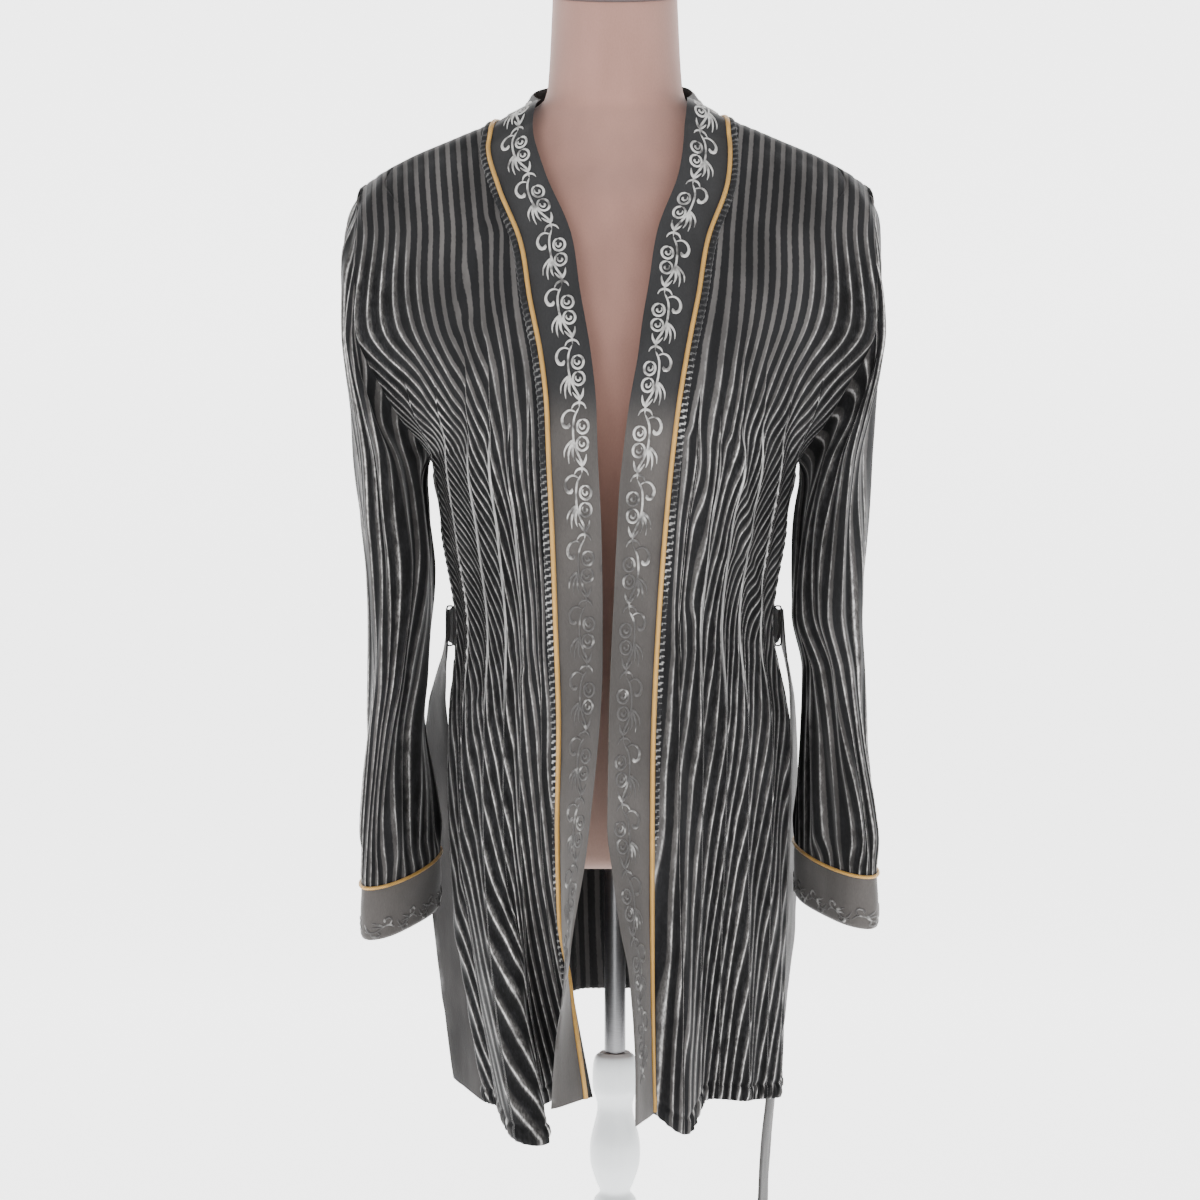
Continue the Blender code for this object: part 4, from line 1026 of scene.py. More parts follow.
def plain_velvet():
    """Plain velvet, darker above the bust: painted shade."""
    made, graph, shader = new_material("plain velvet")
    colors = bpy.context.scene.robe_velvet
    pile = graph.group(pile_group(), fibre_scale=1000.0, patch_scale=17.0)
    height = graph.height()
    # painted shade: the band turns darker above the bust
    turned = graph.step(graph.scaled(pile["Patch"], 0.03, height),
                        BUST_Z - 0.010, BUST_Z + 0.036)
    tone = graph.mix(turned, (*colors.plain, 1), (*colors.plain_shaded, 1))
    shade = graph.scaled(graph.step(pile["Patch"], 0.30, 0.70), 0.42, 0.78)
    grain = graph.times(shade, graph.scaled(pile["Fibre"], 0.5, 0.75))
    tone = graph.dim(tone, grain)
    wire(graph, shader, tone, pile["Fibre"], 0.0003, 0.6)
    set_shader(shader, 0.85, sheen_weight=0.3, sheen_roughness=0.4, specular_ior_level=0.15)
    return made


def dark_velvet():
    """The velvet of the belt and of the seam strips."""
    made, graph, shader = new_material("dark velvet")
    colors = bpy.context.scene.robe_velvet
    pile = graph.group(pile_group(), fibre_scale=900.0, patch_scale=22.0)
    shade = graph.step(pile["Patch"], 0.30, 0.72)
    tone = graph.mix(shade, (*colors.belt_dark, 1), (*colors.belt, 1))
    wire(graph, shader, tone, pile["Fibre"], 0.0004, 0.6)
    set_shader(shader, 0.85, sheen_weight=0.25, sheen_roughness=0.4, specular_ior_level=0.15)
    return made


def seam_velvet():
    """The puckered strip beside the piping: dark pile, with a painted silver highlight on its ridges that
    is fainter above the bust.
    """
    made, graph, shader = new_material("puckered velvet")
    colors = bpy.context.scene.robe_velvet
    place = graph.attribute("place")
    pile = graph.group(pile_group(), fibre_scale=800.0, patch_scale=30.0)
    ridge = graph.math("ADD", place[2], graph.scaled(pile["Fibre"], 0.6, -0.3))
    # painted highlight on the strip's ridges, broken up in patches
    grain_and_sheen = graph.times(graph.step(ridge, 0.45, 0.95),
                      graph.scaled(graph.step(pile["Patch"], 0.35, 0.65), 0.8, 0.2))
    height = graph.height()
    # the painted highlight is fainter above the bust
    sheen_below_bust = graph.scaled(graph.step(height, 1.20, 1.06), 0.60, 0.20)
    tone = graph.mix(graph.times(grain_and_sheen, sheen_below_bust), (*colors.pile, 1), (*colors.crush_and_sheen, 1))
    wire(graph, shader, tone, pile["Fibre"], 0.0004, 0.6)
    set_shader(shader, 0.8, sheen_weight=0.2, sheen_roughness=0.4, specular_ior_level=0.15)
    return made


def gold_cord():
    """Twisted gold thread of the piping, with painted shade in the grooves between its twists."""
    made, graph, shader = new_material("gold thread")
    colors = bpy.context.scene.robe_trim
    place = graph.attribute("place")
    twist = graph.group(thread_group(), along=place[1], across=place[0], pitch=0.0016,
                        slant=0.9)["Height"]
    cloud = graph.noise(graph.object_place(), 90.0, 3.0, 0.6)
    # painted shade: darker between the twists, with a cloudy unevenness of the gold
    depth = graph.times(graph.scaled(twist, 0.45, 0.55),
                       graph.scaled(cloud, 0.5, 0.75))
    tone = graph.dim((*colors.gold, 1), depth)
    wire(graph, shader, tone, twist, 0.0003, 0.8)
    set_shader(shader, 0.42, metallic=0.25, sheen_weight=0.1)
    return made


def silver_thread():
    """Satin stitch of one silver thread with painted light: glints on its painted shade, most of them
    above the bust, so that below it is nearly the band's grey.
    """
    made, graph, shader = new_material("embroidery thread")
    colors = bpy.context.scene.robe_trim
    place = graph.attribute("place")
    stitch = graph.group(thread_group(), along=place[1], across=place[0], pitch=0.00075,
                         slant=0.5)["Height"]
    rough = graph.noise(graph.object_place(), 420.0, 3.0, 0.6)
    spot = graph.noise(graph.object_place(), 110.0, 2.0, 0.5)
    # painted highlight: glints in spots, most of them above the bust
    lit = graph.step(graph.math("ADD", spot, graph.scaled(place[2], 0.5, -0.42)),
                     0.35, 0.62)
    tone = graph.mix(lit, (*colors.thread_shaded, 1), (*colors.thread, 1))
    # painted shade between the laid threads, with the thread's fine grain
    grain = graph.times(graph.scaled(stitch, 0.35, 0.65),
                       graph.scaled(rough, 0.8, 0.6))
    tone = graph.dim(tone, grain)
    wire(graph, shader, tone, stitch, 0.0003, 0.8)
    set_shader(shader, 0.40, sheen_weight=0.15, specular_ior_level=0.6)
    return made


def form_velour():
    """Dusty pink velour of the form, brushed in soft patches."""
    made, graph, shader = new_material("form velour")
    colors = bpy.context.scene.robe_form
    pile = graph.group(pile_group(), fibre_scale=1100.0, patch_scale=14.0)
    height = graph.height()
    low = graph.step(height, 1.05, 0.80)
    tone = graph.mix(low, (*colors.cover, 1), (*colors.cover_low, 1))
    shade = graph.times(graph.scaled(pile["Patch"], 0.9, 0.55),
                       graph.scaled(pile["Fibre"], 0.24, 0.88))
    tone = graph.dim(tone, shade)
    wire(graph, shader, tone, pile["Fibre"], 0.0002, 0.5)
    set_shader(shader, 0.9, sheen_weight=0.35, sheen_roughness=0.5, specular_ior_level=0.2)
    return made


def cap_lacquer():
    """Dark lacquered wood of the neck cap."""
    made, graph, shader = new_material("cap lacquer")
    grain = graph.stretched(graph.object_place(), 1.0, 8.0, 1.0)
    tone = graph.mix(graph.noise(grain, 45.0, 4.0, 0.6),
                     (0.018, 0.007, 0.006, 1), (0.060, 0.022, 0.018, 1))
    graph.feed(shader.inputs["Base Color"], tone)
    set_shader(shader, 0.35, coat_weight=0.3, coat_roughness=0.2)
    return made


def brushed_steel():
    """Satin steel of the rod, brushed round it."""
    made, graph, shader = new_material("brushed steel")
    stretch = graph.stretched(graph.object_place(), 0.05, 0.05, 1.0)
    brushed = graph.noise(stretch, 2600.0, 2.0, 0.6)
    graph.feed(shader.inputs["Base Color"], graph.mix(brushed, (0.16, 0.16, 0.165, 1),
                                                      (0.30, 0.30, 0.31, 1)))
    graph.feed(shader.inputs["Roughness"], graph.scaled(brushed, 0.2, 0.28))
    set_shader(shader, metallic=1.0)
    return made


def white_enamel():
    """White paint of the turned post, with a faint wood grain under it."""
    made, graph, shader = new_material("white enamel")
    colors = bpy.context.scene.robe_form
    grain = graph.noise(graph.stretched(graph.object_place(), 1.0, 1.0, 0.12), 160.0, 4.0, 0.6)
    grain_and_sheen = graph.scaled(grain, 0.10, 0.94)
    tone = graph.dim((*colors.paint, 1), grain_and_sheen)
    wire(graph, shader, tone, grain, 0.0002, 0.3)
    graph.feed(shader.inputs["Roughness"], graph.scaled(grain, 0.15, 0.28))
    set_shader(shader, coat_weight=0.25, coat_roughness=0.15)
    return made


MAKERS = {maker.__name__: maker for maker in (
    ribbed_velvet, plain_velvet, dark_velvet, seam_velvet, gold_cord, silver_thread,
    form_velour, cap_lacquer, brushed_steel, white_enamel)}
MADE = {}


def finish_of(name):
    """A finish by its maker's name, made once."""
    if name not in MADE:
        MADE[name] = MAKERS[name]()
    return MADE[name]


def color(label, about, value):
    """A colour property."""
    return FloatVectorProperty(name=label, description=about, default=value, size=3,
                               subtype="COLOR", min=0.0, max=1.0)


def length(label, about, value):
    """A length property."""
    return FloatProperty(name=label, description=about, default=value, min=0.0, max=0.2,
                         subtype="DISTANCE", unit="LENGTH", precision=4)


class RobeVelvet(bpy.types.PropertyGroup):
    wall: length("Cloth thickness", "Thickness of the velvet with its backing", 0.0020)
    rib_rise: length("Rib height", "Height of the crushed ribs", 0.0012)
    pile: color("Pile", "Dark pile of the ribbed velvet", (0.011, 0.011, 0.012))
    ground: color("Ground", "Grey stripe between the ribs", (0.085, 0.080, 0.078))
    # painted highlight: the colour of the bright sheen on the crushed ridges
    crush_and_sheen: color("Silver", "Crushed ridges of the ribs", (0.62, 0.61, 0.60))
    plain: color("Plain velvet", "Band and cuffs below the bust", (0.066, 0.061, 0.058))
    # painted shade: the band's plain velvet as it is darkened above the bust
    plain_shaded: color("Plain velvet, dark", "Band above the bust", (0.023, 0.023, 0.024))
    belt: color("Belt", "Belt where its pile catches the light", (0.055, 0.052, 0.051))
    belt_dark: color("Belt, dark", "Belt in the shade of its pile", (0.024, 0.023, 0.023))


class RobeTrim(bpy.types.PropertyGroup):
    piping: length("Piping radius", "Radius of the gold piping", 0.0019)
    stitch_rise: length("Stitch height", "Height of the embroidery", 0.0009)
    gold: color("Gold", "Gold thread", (0.62, 0.345, 0.075))
    # one silver thread: the colour of its painted glints, and the colour painted where it is in shade
    thread: color("Silver thread", "Bright stitches", (0.66, 0.65, 0.63))
    thread_shaded: color("Grey thread", "Dull stitches", (0.055, 0.051, 0.049))


class RobeForm(bpy.types.PropertyGroup):
    cover: color("Cover", "Velour at the chest", (0.29, 0.158, 0.126))
    cover_low: color("Cover, low", "Velour towards the form's lower edge", (0.44, 0.29, 0.245))
    paint: color("Paint", "Paint of the post and base", (0.78, 0.81, 0.82))
    rod: length("Rod radius", "Radius of the steel rod", 0.009)


def smooth_line(points, per):
    """A smooth curve through points, with so many steps between each two."""
    points = np.asarray(points, dtype=float)
    ends = np.concatenate([2 * points[:1] - points[1:2], points, 2 * points[-1:] - points[-2:-1]])
    step = np.linspace(0, 1, per, endpoint=False)[:, None]
    parts = []
    for a, b, c, d in zip(ends, ends[1:], ends[2:], ends[3:]):
        parts.append(b + 0.5 * step * (c - a + step * (2 * a - 5 * b + 4 * c - d
                                                       + step * (3 * (b - c) + d - a))))
    return np.concatenate([*parts, points[-1:]])


def armhole_loop(side, angle):
    """The armhole's points at angles round it, 0 at the top and front first."""
    row = np.linspace(0, ARMHOLE_ROWS, 181)
    edges = (smooth_panel(lambda *at: front_point(side, *at), np.array([1.0]), row)[:, 0],
             smooth_panel(back_point, np.array([float(side)]), row)[:, 0])
    front, back = (between(way, armhole_turn(edge[:, 2]), edge)
                   for way, edge in zip((angle, 2 * np.pi - angle), edges))
    return np.where((angle <= np.pi)[:, None], front, back)


def armhole_turn(z):
    """Angle round the armhole at a height, from its top."""
    return np.arccos(np.clip((z - ARMHOLE_MID) / ARMHOLE_HALF, -1, 1))


def front_panel(side):
    """A front with its stripes, gathers, creases and turned hem."""
    rib_rise = bpy.context.scene.robe_velvet.rib_rise
    part = "front_" + SIDE_NAME[side]
    columns, rows = np.linspace(0, 1, 181), fine_rows(100, 182, 81)
    points = smooth_panel(lambda *at: front_point(side, *at), columns, rows)
    share, row = np.meshgrid(columns, rows)
    ways = grid_ways(points) * side
    ways[0] = shoulder_way(side)
    z = points[..., 2]
    height = z - Profile(HEM[part], "share", "z")(share)
    x = np.abs(points[..., 0])
    ribs, crush_and_sheen = front_ribs(side, share, x, z), front_crush_and_sheen(side, share, z)
    fade = edge_fade(share, row, PANEL_ROWS)
    folds_rise = front_rise(side, share, x, z) * fade
    relief = stripe_rise(ribs, crush_and_sheen, rib_rise) * fade + hem_relief(share, height)
    base = points + ways * folds_rise[..., None]
    ribbed_piece(part, base, ways, relief, stamped(ribs, crush_and_sheen, z))


def back_panel():
    """The back in one piece, drawn in a little under the belt."""
    rib_rise = bpy.context.scene.robe_velvet.rib_rise
    columns, rows = np.linspace(-1, 1, 401), fine_rows(70, 40, 52)
    points = smooth_panel(back_point, columns, rows)
    share, row = np.meshgrid(columns, rows)
    ways = -grid_ways(points)
    z = points[..., 2]
    height = z - Profile(HEM["back"], "share", "z")(np.abs(share))
    uneven = 0.30 * drift(share * 8 + 20, z * 9, 31) * ease((1.20 - z) / 0.2)
    ribs = BACK_DENSITY * share + uneven
    # crush of the ribs, which the finish paints with silver sheen, more of it lower down
    crush_and_sheen = np.clip(0.25 + 0.6 * ease((1.10 - z) / 0.25) + 0.2 * drift(share * 6, z * 5, 33), 0, 1)
    from_edge = (share + 1) / 2
    fade = edge_fade(from_edge, row, PANEL_ROWS)
    waist = np.exp(-((z - BELT_Z) / 0.10) ** 2)
    gathers = 0.0022 * waist * np.abs(np.sin(np.pi * 9 * share + drift(share * 4, z * 6, 35)))
    soft = 0.0016 * drift(share * 9 + 9, z * 5, 37) * ease((1.30 - z) / 0.1)
    near_belt = 1 - 0.8 * np.exp(-((z - BELT_Z) / 0.026) ** 2)
    base = points + ways * ((gathers + soft) * fade * near_belt)[..., None]
    relief = stripe_rise(ribs, crush_and_sheen, rib_rise) * fade * near_belt
    ribbed_piece("back", base, ways, relief + hem_relief(from_edge * 2, height),
                 stamped(ribs, crush_and_sheen, z))


def sleeve_grid(side, columns, drops):
    """A sleeve's points and ways over its whole length."""
    angle = np.linspace(0, 2 * np.pi, columns)
    loop = armhole_loop(side, angle)
    around, drop = np.meshgrid(angle, drops)
    points = sleeve_point(side, around, drop, np.broadcast_to(loop, around.shape + (3,)))
    ways = ring_ways(points) * -side
    ways[0] = armhole_way(side, angle)
    return around, drop, points, ways


def sleeve(side):
    """A sleeve with its lengthwise ribs and long limp folds."""
    rib_rise = bpy.context.scene.robe_velvet.rib_rise
    around, drop, points, ways = sleeve_grid(side, SLEEVE_DENSITY * 10 + 1, np.linspace(0, 1, 151))
    z = points[..., 2]
    limp = ease(drop / 0.12) * ease((1 - drop) / 0.05)
    uneven = (0.55 * np.cos(2 * around + 11 * z + side) + 0.30 * np.cos(3 * around - 23 * z)) * limp
    ribs = SLEEVE_DENSITY * around / (2 * np.pi) + uneven
    # crush of the ribs, which the finish paints with silver sheen, in waves round the sleeve
    crush_and_sheen = np.clip(0.72 + 0.28 * np.cos(3 * around + 16 * z + 2 * side), 0, 1) * ease(drop / 0.05)
    folds_rise = limp * (0.0019 * np.cos(7 * around + 13 * z + side)
                         + 0.0014 * np.cos(11 * around - 17 * z)
                         + 0.0009 * np.cos(4 * around + 29 * z))
    fade = ease(drop / 0.02) * ease((1 - drop) / 0.012)
    base = points + ways * folds_rise[..., None]
    ribbed_piece("sleeve_" + SIDE_NAME[side], base, ways, stripe_rise(ribs, crush_and_sheen, rib_rise) * fade,
                 stamped(ribs, crush_and_sheen, z), ring=True)
    return around[0], points[-1], ways[-1]


def round_edge(grid, ways, distance, wall):
    """Draws a wall's faces together where the distance to its folded edge is small."""
    near = np.clip(distance / (wall * 0.6), 0, 1)
    return grid - ways * (wall / 2 * (1 - np.sqrt(1 - (1 - near) ** 2)))[..., None]


class Surface:
    """A grid of points that work is laid on, by distances along it and in from its last edge."""

    def __init__(self, points, ways):
        self.points, self.ways = points, ways
        self.along = run_along(points[:, points.shape[1] // 2])
        self.width = np.linalg.norm(points[:, -1] - points[:, 0], axis=1)

    def put(self, along, across, lift):
        """Points at a distance along, in from the last edge, and above the surface."""
        rows, columns = self.points.shape[:2]
        row = np.interp(along, self.along, np.arange(rows))
        wide = np.interp(row, np.arange(rows), self.width)
        column = np.clip(1 - across / wide, 0, 1) * (columns - 1)
        i = np.minimum(row.astype(int), rows - 2)
        j = np.minimum(column.astype(int), columns - 2)
        s, t = (row - i)[..., None], (column - j)[..., None]
        found = []
        for grid in (self.points, self.ways):
            near = grid[i, j] * (1 - t) + grid[i, j + 1] * t
            far = grid[i + 1, j] * (1 - t) + grid[i + 1, j + 1] * t
            found.append(near * (1 - s) + far * s)
        return found[0] + unit(found[1]) * lift[..., None]


def band_surface():
    """The whole front band, from one hem up round the neck and down to the other."""
    row = fine_rows(150, 90, 170)
    seams, runs = [], []
    for side in (-1, 1):
        seam = smooth_panel(lambda *at: front_point(side, *at), np.array([0.0]), row)[:, 0]
        run = np.stack([profile(seam[:, 2]) for profile in RUN[side]], axis=-1) * [side, 1, 1]
        seams.append(seam)
        runs.append(run)
    share = np.linspace(-NECK_SHARE, NECK_SHARE, 141)
    neck = back_point(share, 0 * share)
    turn = np.abs(share) / NECK_SHARE
    ends = np.where((share < 0)[:, None], runs[0][0], runs[1][0])
    neck_run = NECK_BAND_RISE + (ends - NECK_BAND_RISE) * (turn ** 2)[:, None]
    seam = np.concatenate([seams[0][:0:-1], neck, seams[1][1:]])
    run = np.concatenate([runs[0][:0:-1], neck_run, runs[1][1:]])
    across = np.linspace(0, 1, 15)[None, :, None]
    points = seam[:, None] + run[:, None] * across
    return Surface(points, -grid_ways(points))


def band(surface):
    """The plain band as one folded strip, with slight puckers along its seam."""
    wall = bpy.context.scene.robe_velvet.wall
    points, ways = surface.points, surface.ways
    along = np.broadcast_to(surface.along[:, None], points.shape[:2])
    across = np.linspace(0, 1, points.shape[1])[None, :] + 0 * along
    pucker = 0.00035 * drift(along * 90, across * 2, 41) * (1 - across)
    soft = 0.0006 * drift(along * 22, across * 3 + 7, 43)
    lifted = points + ways * (pucker + soft)[..., None]
    piece = folded_piece("robe_band", lifted, ways, (1 - across) * surface.width[:, None], wall,
                         "plain_velvet", ["band_right", "band_neck", "band_left"])
    declare_sheet(piece, float(surface.along[-1]))
    return Surface(lifted, ways)


def roll(name, path, ways, wide, high, around, finish, relief=None, closed=False):
    """A closed piping along a path: its section, and a relief by angle and distance."""
    ahead = np.roll(path, -1, axis=0) - np.roll(path, 1, axis=0) if closed else \
        np.gradient(path, axis=0)
    ahead = unit(ahead)
    aside = unit(np.cross(ahead, ways))
    up = unit(np.cross(aside, ahead))
    steps = np.linalg.norm(np.diff(path, axis=0, append=path[:1] if closed else path[-1:]), axis=1)
    along = np.concatenate([[0.0], np.cumsum(steps)])[:len(path)]
    if closed:
        path, aside, up = (np.concatenate([line, line[:1]]) for line in (path, aside, up))
        along = np.append(along, along[-1] + steps[-1])
    angle = np.linspace(0, 2 * np.pi, around + 1)
    distance, turn = np.meshgrid(along, angle, indexing="ij")
    lift = relief(turn, distance) if relief else 0 * turn
    points = (path[:, None] + aside[:, None] * (np.cos(turn) * (wide + lift))[..., None]
              + up[:, None] * (np.sin(turn) * (high + lift))[..., None])
    bm = bmesh.new()
    bm.loops.layers.float_vector.new("place")
    ridge = lift / max(float(np.max(lift)), 1e-6)
    grid = lay(bm, points, stamped(turn * (wide + high) / 2, distance, ridge))
    if not closed:
        for ring in (grid[0], grid[-1]):
            bm.faces.new(ring[:-1])
    bmesh.ops.remove_doubles(bm, verts=bm.verts, dist=1e-6)
    return new_mesh(name, bm, finish)


def band_piping(surface):
    """Gold piping in the band's seam, and the puckered strip outside it."""
    trim = bpy.context.scene.robe_trim
    line = surface.points[:, 0]
    ways = surface.ways[:, 0]
    outward = unit(surface.points[:, 0] - surface.points[:, 1])
    steps = np.arange(0, surface.along[-1], PIPING_STEP)
    row = np.interp(steps, surface.along, np.arange(len(line)))
    line, ways, outward = (between(row, np.arange(len(part)), part)
                           for part in (line, ways, outward))
    turned = ease((0.70 - line[:, 2]) / 0.05) * (line[:, 0] < 0)
    lift = trim.piping * 0.7 - turned * (trim.piping * 1.3 + bpy.context.scene.robe_velvet.wall)
    path = line + ways * lift[:, None] - outward * 0.0002
    piping = roll("robe_piping", path, ways, trim.piping, trim.piping, 10, finish_of("gold_cord"))
    finish_piece(piping, "gold_piping", "piping_right", "piping_neck", "piping_left")

    def twist(turn, distance):
        wave = np.sin(2 * np.pi * distance / 0.0052 + turn * 1.2)
        return 0.0007 * ease((wave + 0.6) / 1.2) * (0.8 + 0.2 * drift(distance * 60, turn * 0, 47))

    for side, part in ((-1, slice(3, len(path) // 2 - 60)), (1, slice(len(path) // 2 + 60, -3))):
        edge = line[part] + outward[part] * 0.0044 + ways[part] * 0.0013
        strip = roll(f"robe_seam_strip_{SIDE_NAME[side]}", edge, ways[part], 0.0027, 0.0017, 8,
                     finish_of("seam_velvet"), relief=twist)
        finish_piece(strip, "ribbed_velvet")


Stroke = namedtuple("Stroke", "start end line")
VINE = [
    Stroke(1.5, 1.7, [(-1, 10), (6, 14.2), (15, 15.8), (25, 15.6), (34, 13), (42, 9.6), (50, 10)]),
    Stroke(1.8, 1.6, [(8.4, 8), (10, 4.4), (14, 3.0), (18, 4.6), (19.4, 8.2), (17.4, 11.6), (13.4, 12.4),
                      (9.6, 10.6), (8.6, 7.6)]),
    Stroke(1.8, 1.5, [(21.6, 9), (23.2, 5.2), (27, 3.8), (31, 5.2), (32.6, 9), (30.6, 12.4), (26.6, 13.4),
                      (22.8, 11.4), (21.8, 8.6)]),
    Stroke(1.0, 1.7, [(11.4, 9.6), (13.6, 10.4), (15.8, 8.6), (14.8, 6.6), (12.8, 6.8)]),
    Stroke(1.0, 1.7, [(24.8, 10.4), (27, 11), (29, 9.2), (28, 7.2), (26.2, 7.6)]),
    Stroke(2.2, 0.4, [(25, 15.6), (30, 19), (36, 20.6), (43, 20.4)]),
    Stroke(2.6, 0.4, [(26, 15.6), (31, 16.8), (36, 17.0), (41, 15.6)]),
    Stroke(2.0, 0.4, [(24, 16), (27.4, 20.6), (32, 23.6), (38, 24.4)]),
    Stroke(1.2, 3.2, [(3, 12.6), (0.6, 17), (2, 21.6), (7, 24.6), (12.6, 23.4), (13.6, 20), (10.8, 18.6)]),
    Stroke(2.4, 0.4, [(44, 9.4), (40, 6.6), (35, 5.4)]),
    Stroke(2.0, 0.4, [(44, 9.6), (41, 12.4), (37.4, 14.8)]),
    Stroke(2.0, 0.5, [(46, 9.8), (47.4, 14), (51, 16.6)]),
    Stroke(1.8, 0.4, [(46, 9.2), (48.4, 6), (52, 4.6)]),
]
SCROLL = [
    Stroke(1.3, 1.3, [(0, 5), (5, 8.4), (11, 8.4), (17, 5), (23, 4.2), (28, 5)]),
    Stroke(1.2, 2.4, [(6, 8.4), (3.6, 11.6), (6, 14.4), (10, 13.6), (10.4, 11)]),
    Stroke(1.4, 2.2, [(17, 5), (14.6, 2.2), (18, 0.8), (21.6, 2.4), (20, 4.2)]),
    Stroke(2.2, 0.4, [(12, 8.2), (17, 10.6), (22, 12.4)]),
    Stroke(1.9, 0.4, [(13, 7.8), (18.4, 8.2), (23.4, 7.6)]),
    Stroke(1.8, 0.4, [(23, 4.2), (26, 7.6), (28.4, 11)]),
]
STROKE_STEPS = 18
STROKE_FACES = 4
STROKE_WIDER = 1.2


def stroke_grid(stroke):
    """A stroke's places along and across the pattern, its rise, and its thread's own places."""
    line = smooth_line(stroke.line, 6) / 1000
    far = run_along(line)
    at = np.linspace(0, far[-1], STROKE_STEPS)
    line = between(at, far, line)
    ahead = unit(np.gradient(line, axis=0))
    aside = np.stack([-ahead[:, 1], ahead[:, 0]], axis=-1)
    part = at / far[-1]
    wide = STROKE_WIDER * (stroke.start + (stroke.end - stroke.start) * part ** 1.5) / 2000
    wide = wide * np.sqrt(np.clip(1 - (2 * np.abs(part - 0.5)) ** 8, 0.02, 1))
    turn = np.linspace(0, np.pi, STROKE_FACES + 1)
    across = wide[:, None] * np.cos(turn)
    place = line[:, None] + aside[:, None] * across[..., None]
    rise = np.minimum(wide / 0.0008, 1)[:, None] * np.sin(turn)
    return place, rise, across, np.broadcast_to(at[:, None], across.shape)


def embroider(name, surface, strokes, starts, margin, low):
    """Lays a pattern's strokes on a surface, once from each start."""
    high = bpy.context.scene.robe_trim.stitch_rise
    grids = [stroke_grid(stroke) for stroke in strokes]
    bm = bmesh.new()
    bm.loops.layers.float_vector.new("place")
    for start, way in starts:
        for place, rise, across, at in grids:
            along = start + way * place[..., 0]
            lift = high * rise - STITCH_SINK
            points = surface.put(along, place[..., 1] + margin, lift)
            # painted light by height: how many stitches glint, more above the bust, down to low below
            stitch_light = low + (1 - low) * ease((points[..., 2] - 0.93) / 0.16)
            lay(bm, points, stamped(across, at, stitch_light))
    finish_piece(new_mesh(name, bm, finish_of("silver_thread"), angle=60), "plain_velvet")


def band_embroidery(surface):
    """The silver vine along the band's free edge, down both fronts from the neck."""
    middle = surface.along[-1] / 2
    count = int(middle / EMBROIDERY_REPEAT)
    starts = []
    for way in (-1, 1):
        starts += [(middle + way * (0.001 + EMBROIDERY_REPEAT * place), way) for place in range(count)]
    embroider("robe_vine", surface, VINE, starts, EMBROIDERY_MARGIN, 0.45)


def cuff(side, angle, top, top_ways):
    """A plain cuff with its piping and its small scroll."""
    velvet, trim = bpy.context.scene.robe_velvet, bpy.context.scene.robe_trim
    down = np.linspace(0, CUFF_HEIGHT, 17)[:, None]
    z = top[:, 2] - down
    around = np.broadcast_to(angle, z.shape)
    section = sleeve_section(side, around, z)
    points = np.concatenate([section, z[..., None]], axis=-1)
    ways = ring_ways(points) * -side
    soft = 0.0007 * np.cos(5 * around + 40 * down) * ease(down / 0.02)
    lifted = points + ways * soft[..., None]
    low = np.broadcast_to(CUFF_HEIGHT - down, z.shape)
    name = SIDE_NAME[side]
    piece = folded_piece(f"robe_cuff_{name}", lifted, ways, low, velvet.wall, "plain_velvet",
                         [f"cuff_{name}"], ring=True)
    declare_sheet(piece, CUFF_HEIGHT)

    path = top[:-1] + top_ways[:-1] * (trim.piping * 0.5)
    piping = roll(f"robe_cuff_piping_{name}", path, top_ways[:-1], trim.piping * 0.75,
                  trim.piping * 0.75, 10, finish_of("gold_cord"), closed=True)
    finish_piece(piping, "gold_piping", f"piping_cuff_{name}")

    across = Surface(np.swapaxes(lifted, 0, 1)[::-1], np.swapaxes(ways, 0, 1)[::-1])
    count = int(across.along[-1] / SCROLL_REPEAT)
    starts = [(across.along[-1] * place / count, 1) for place in range(count)]
    embroider(f"robe_cuff_scroll_{name}", across, SCROLL, starts, SCROLL_MARGIN, 0.5)


def ribbon(part, line, across, seed):
    """A soft flat length of the belt along a line, as wide as its across steps."""
    spans = np.linspace(-0.5, 0.5, 13)
    points = line[:, None] + across[:, None] * spans[None, :, None]
    ways = grid_ways(points)
    distance = np.minimum(0.5 - np.abs(spans), 0.5)[None, :] * np.linalg.norm(
        across, axis=-1)[:, None]
    along = np.arange(len(line))[:, None] / len(line)
    soft = 0.0007 * drift(along * 26 + seed, spans[None, :] * 5 + 9, seed)
    crown = 0.0010 * (1 - (2 * spans[None, :]) ** 2)
    lifted = points + ways * (soft + crown + BELT_WALL / 2)[..., None]
    return folded_piece(f"robe_{part}", lifted, ways, distance, BELT_WALL, "dark_velvet", [part])


def belt_back_line():
    """The belt's middle line round the back, the ways off the body, and its width there."""
    share = np.linspace(-1, 1, 161)
    level = np.full(share.shape, BELT_Z)
    across = spread(0 * share, np.abs(share) * 0.97, level)
    place = np.where((share < 0)[:, None], body_point(-1, 1, across, level),
                     body_point(1, 1, across, level))
    away = unit(np.cross(np.gradient(place, axis=0), (0, 0, 1)))
    away *= np.sign(np.sum(away * (place * [1, 1, 0]), axis=-1, keepdims=True))
    width = BELT_WIDTH - BELT_PINCH * ease((np.abs(share) - 0.75) / 0.25)
    standoff = BELT_STANDOFF + BELT_BACK_SLACK * (1 - share ** 4)
    return place, place + away * standoff[:, None], width


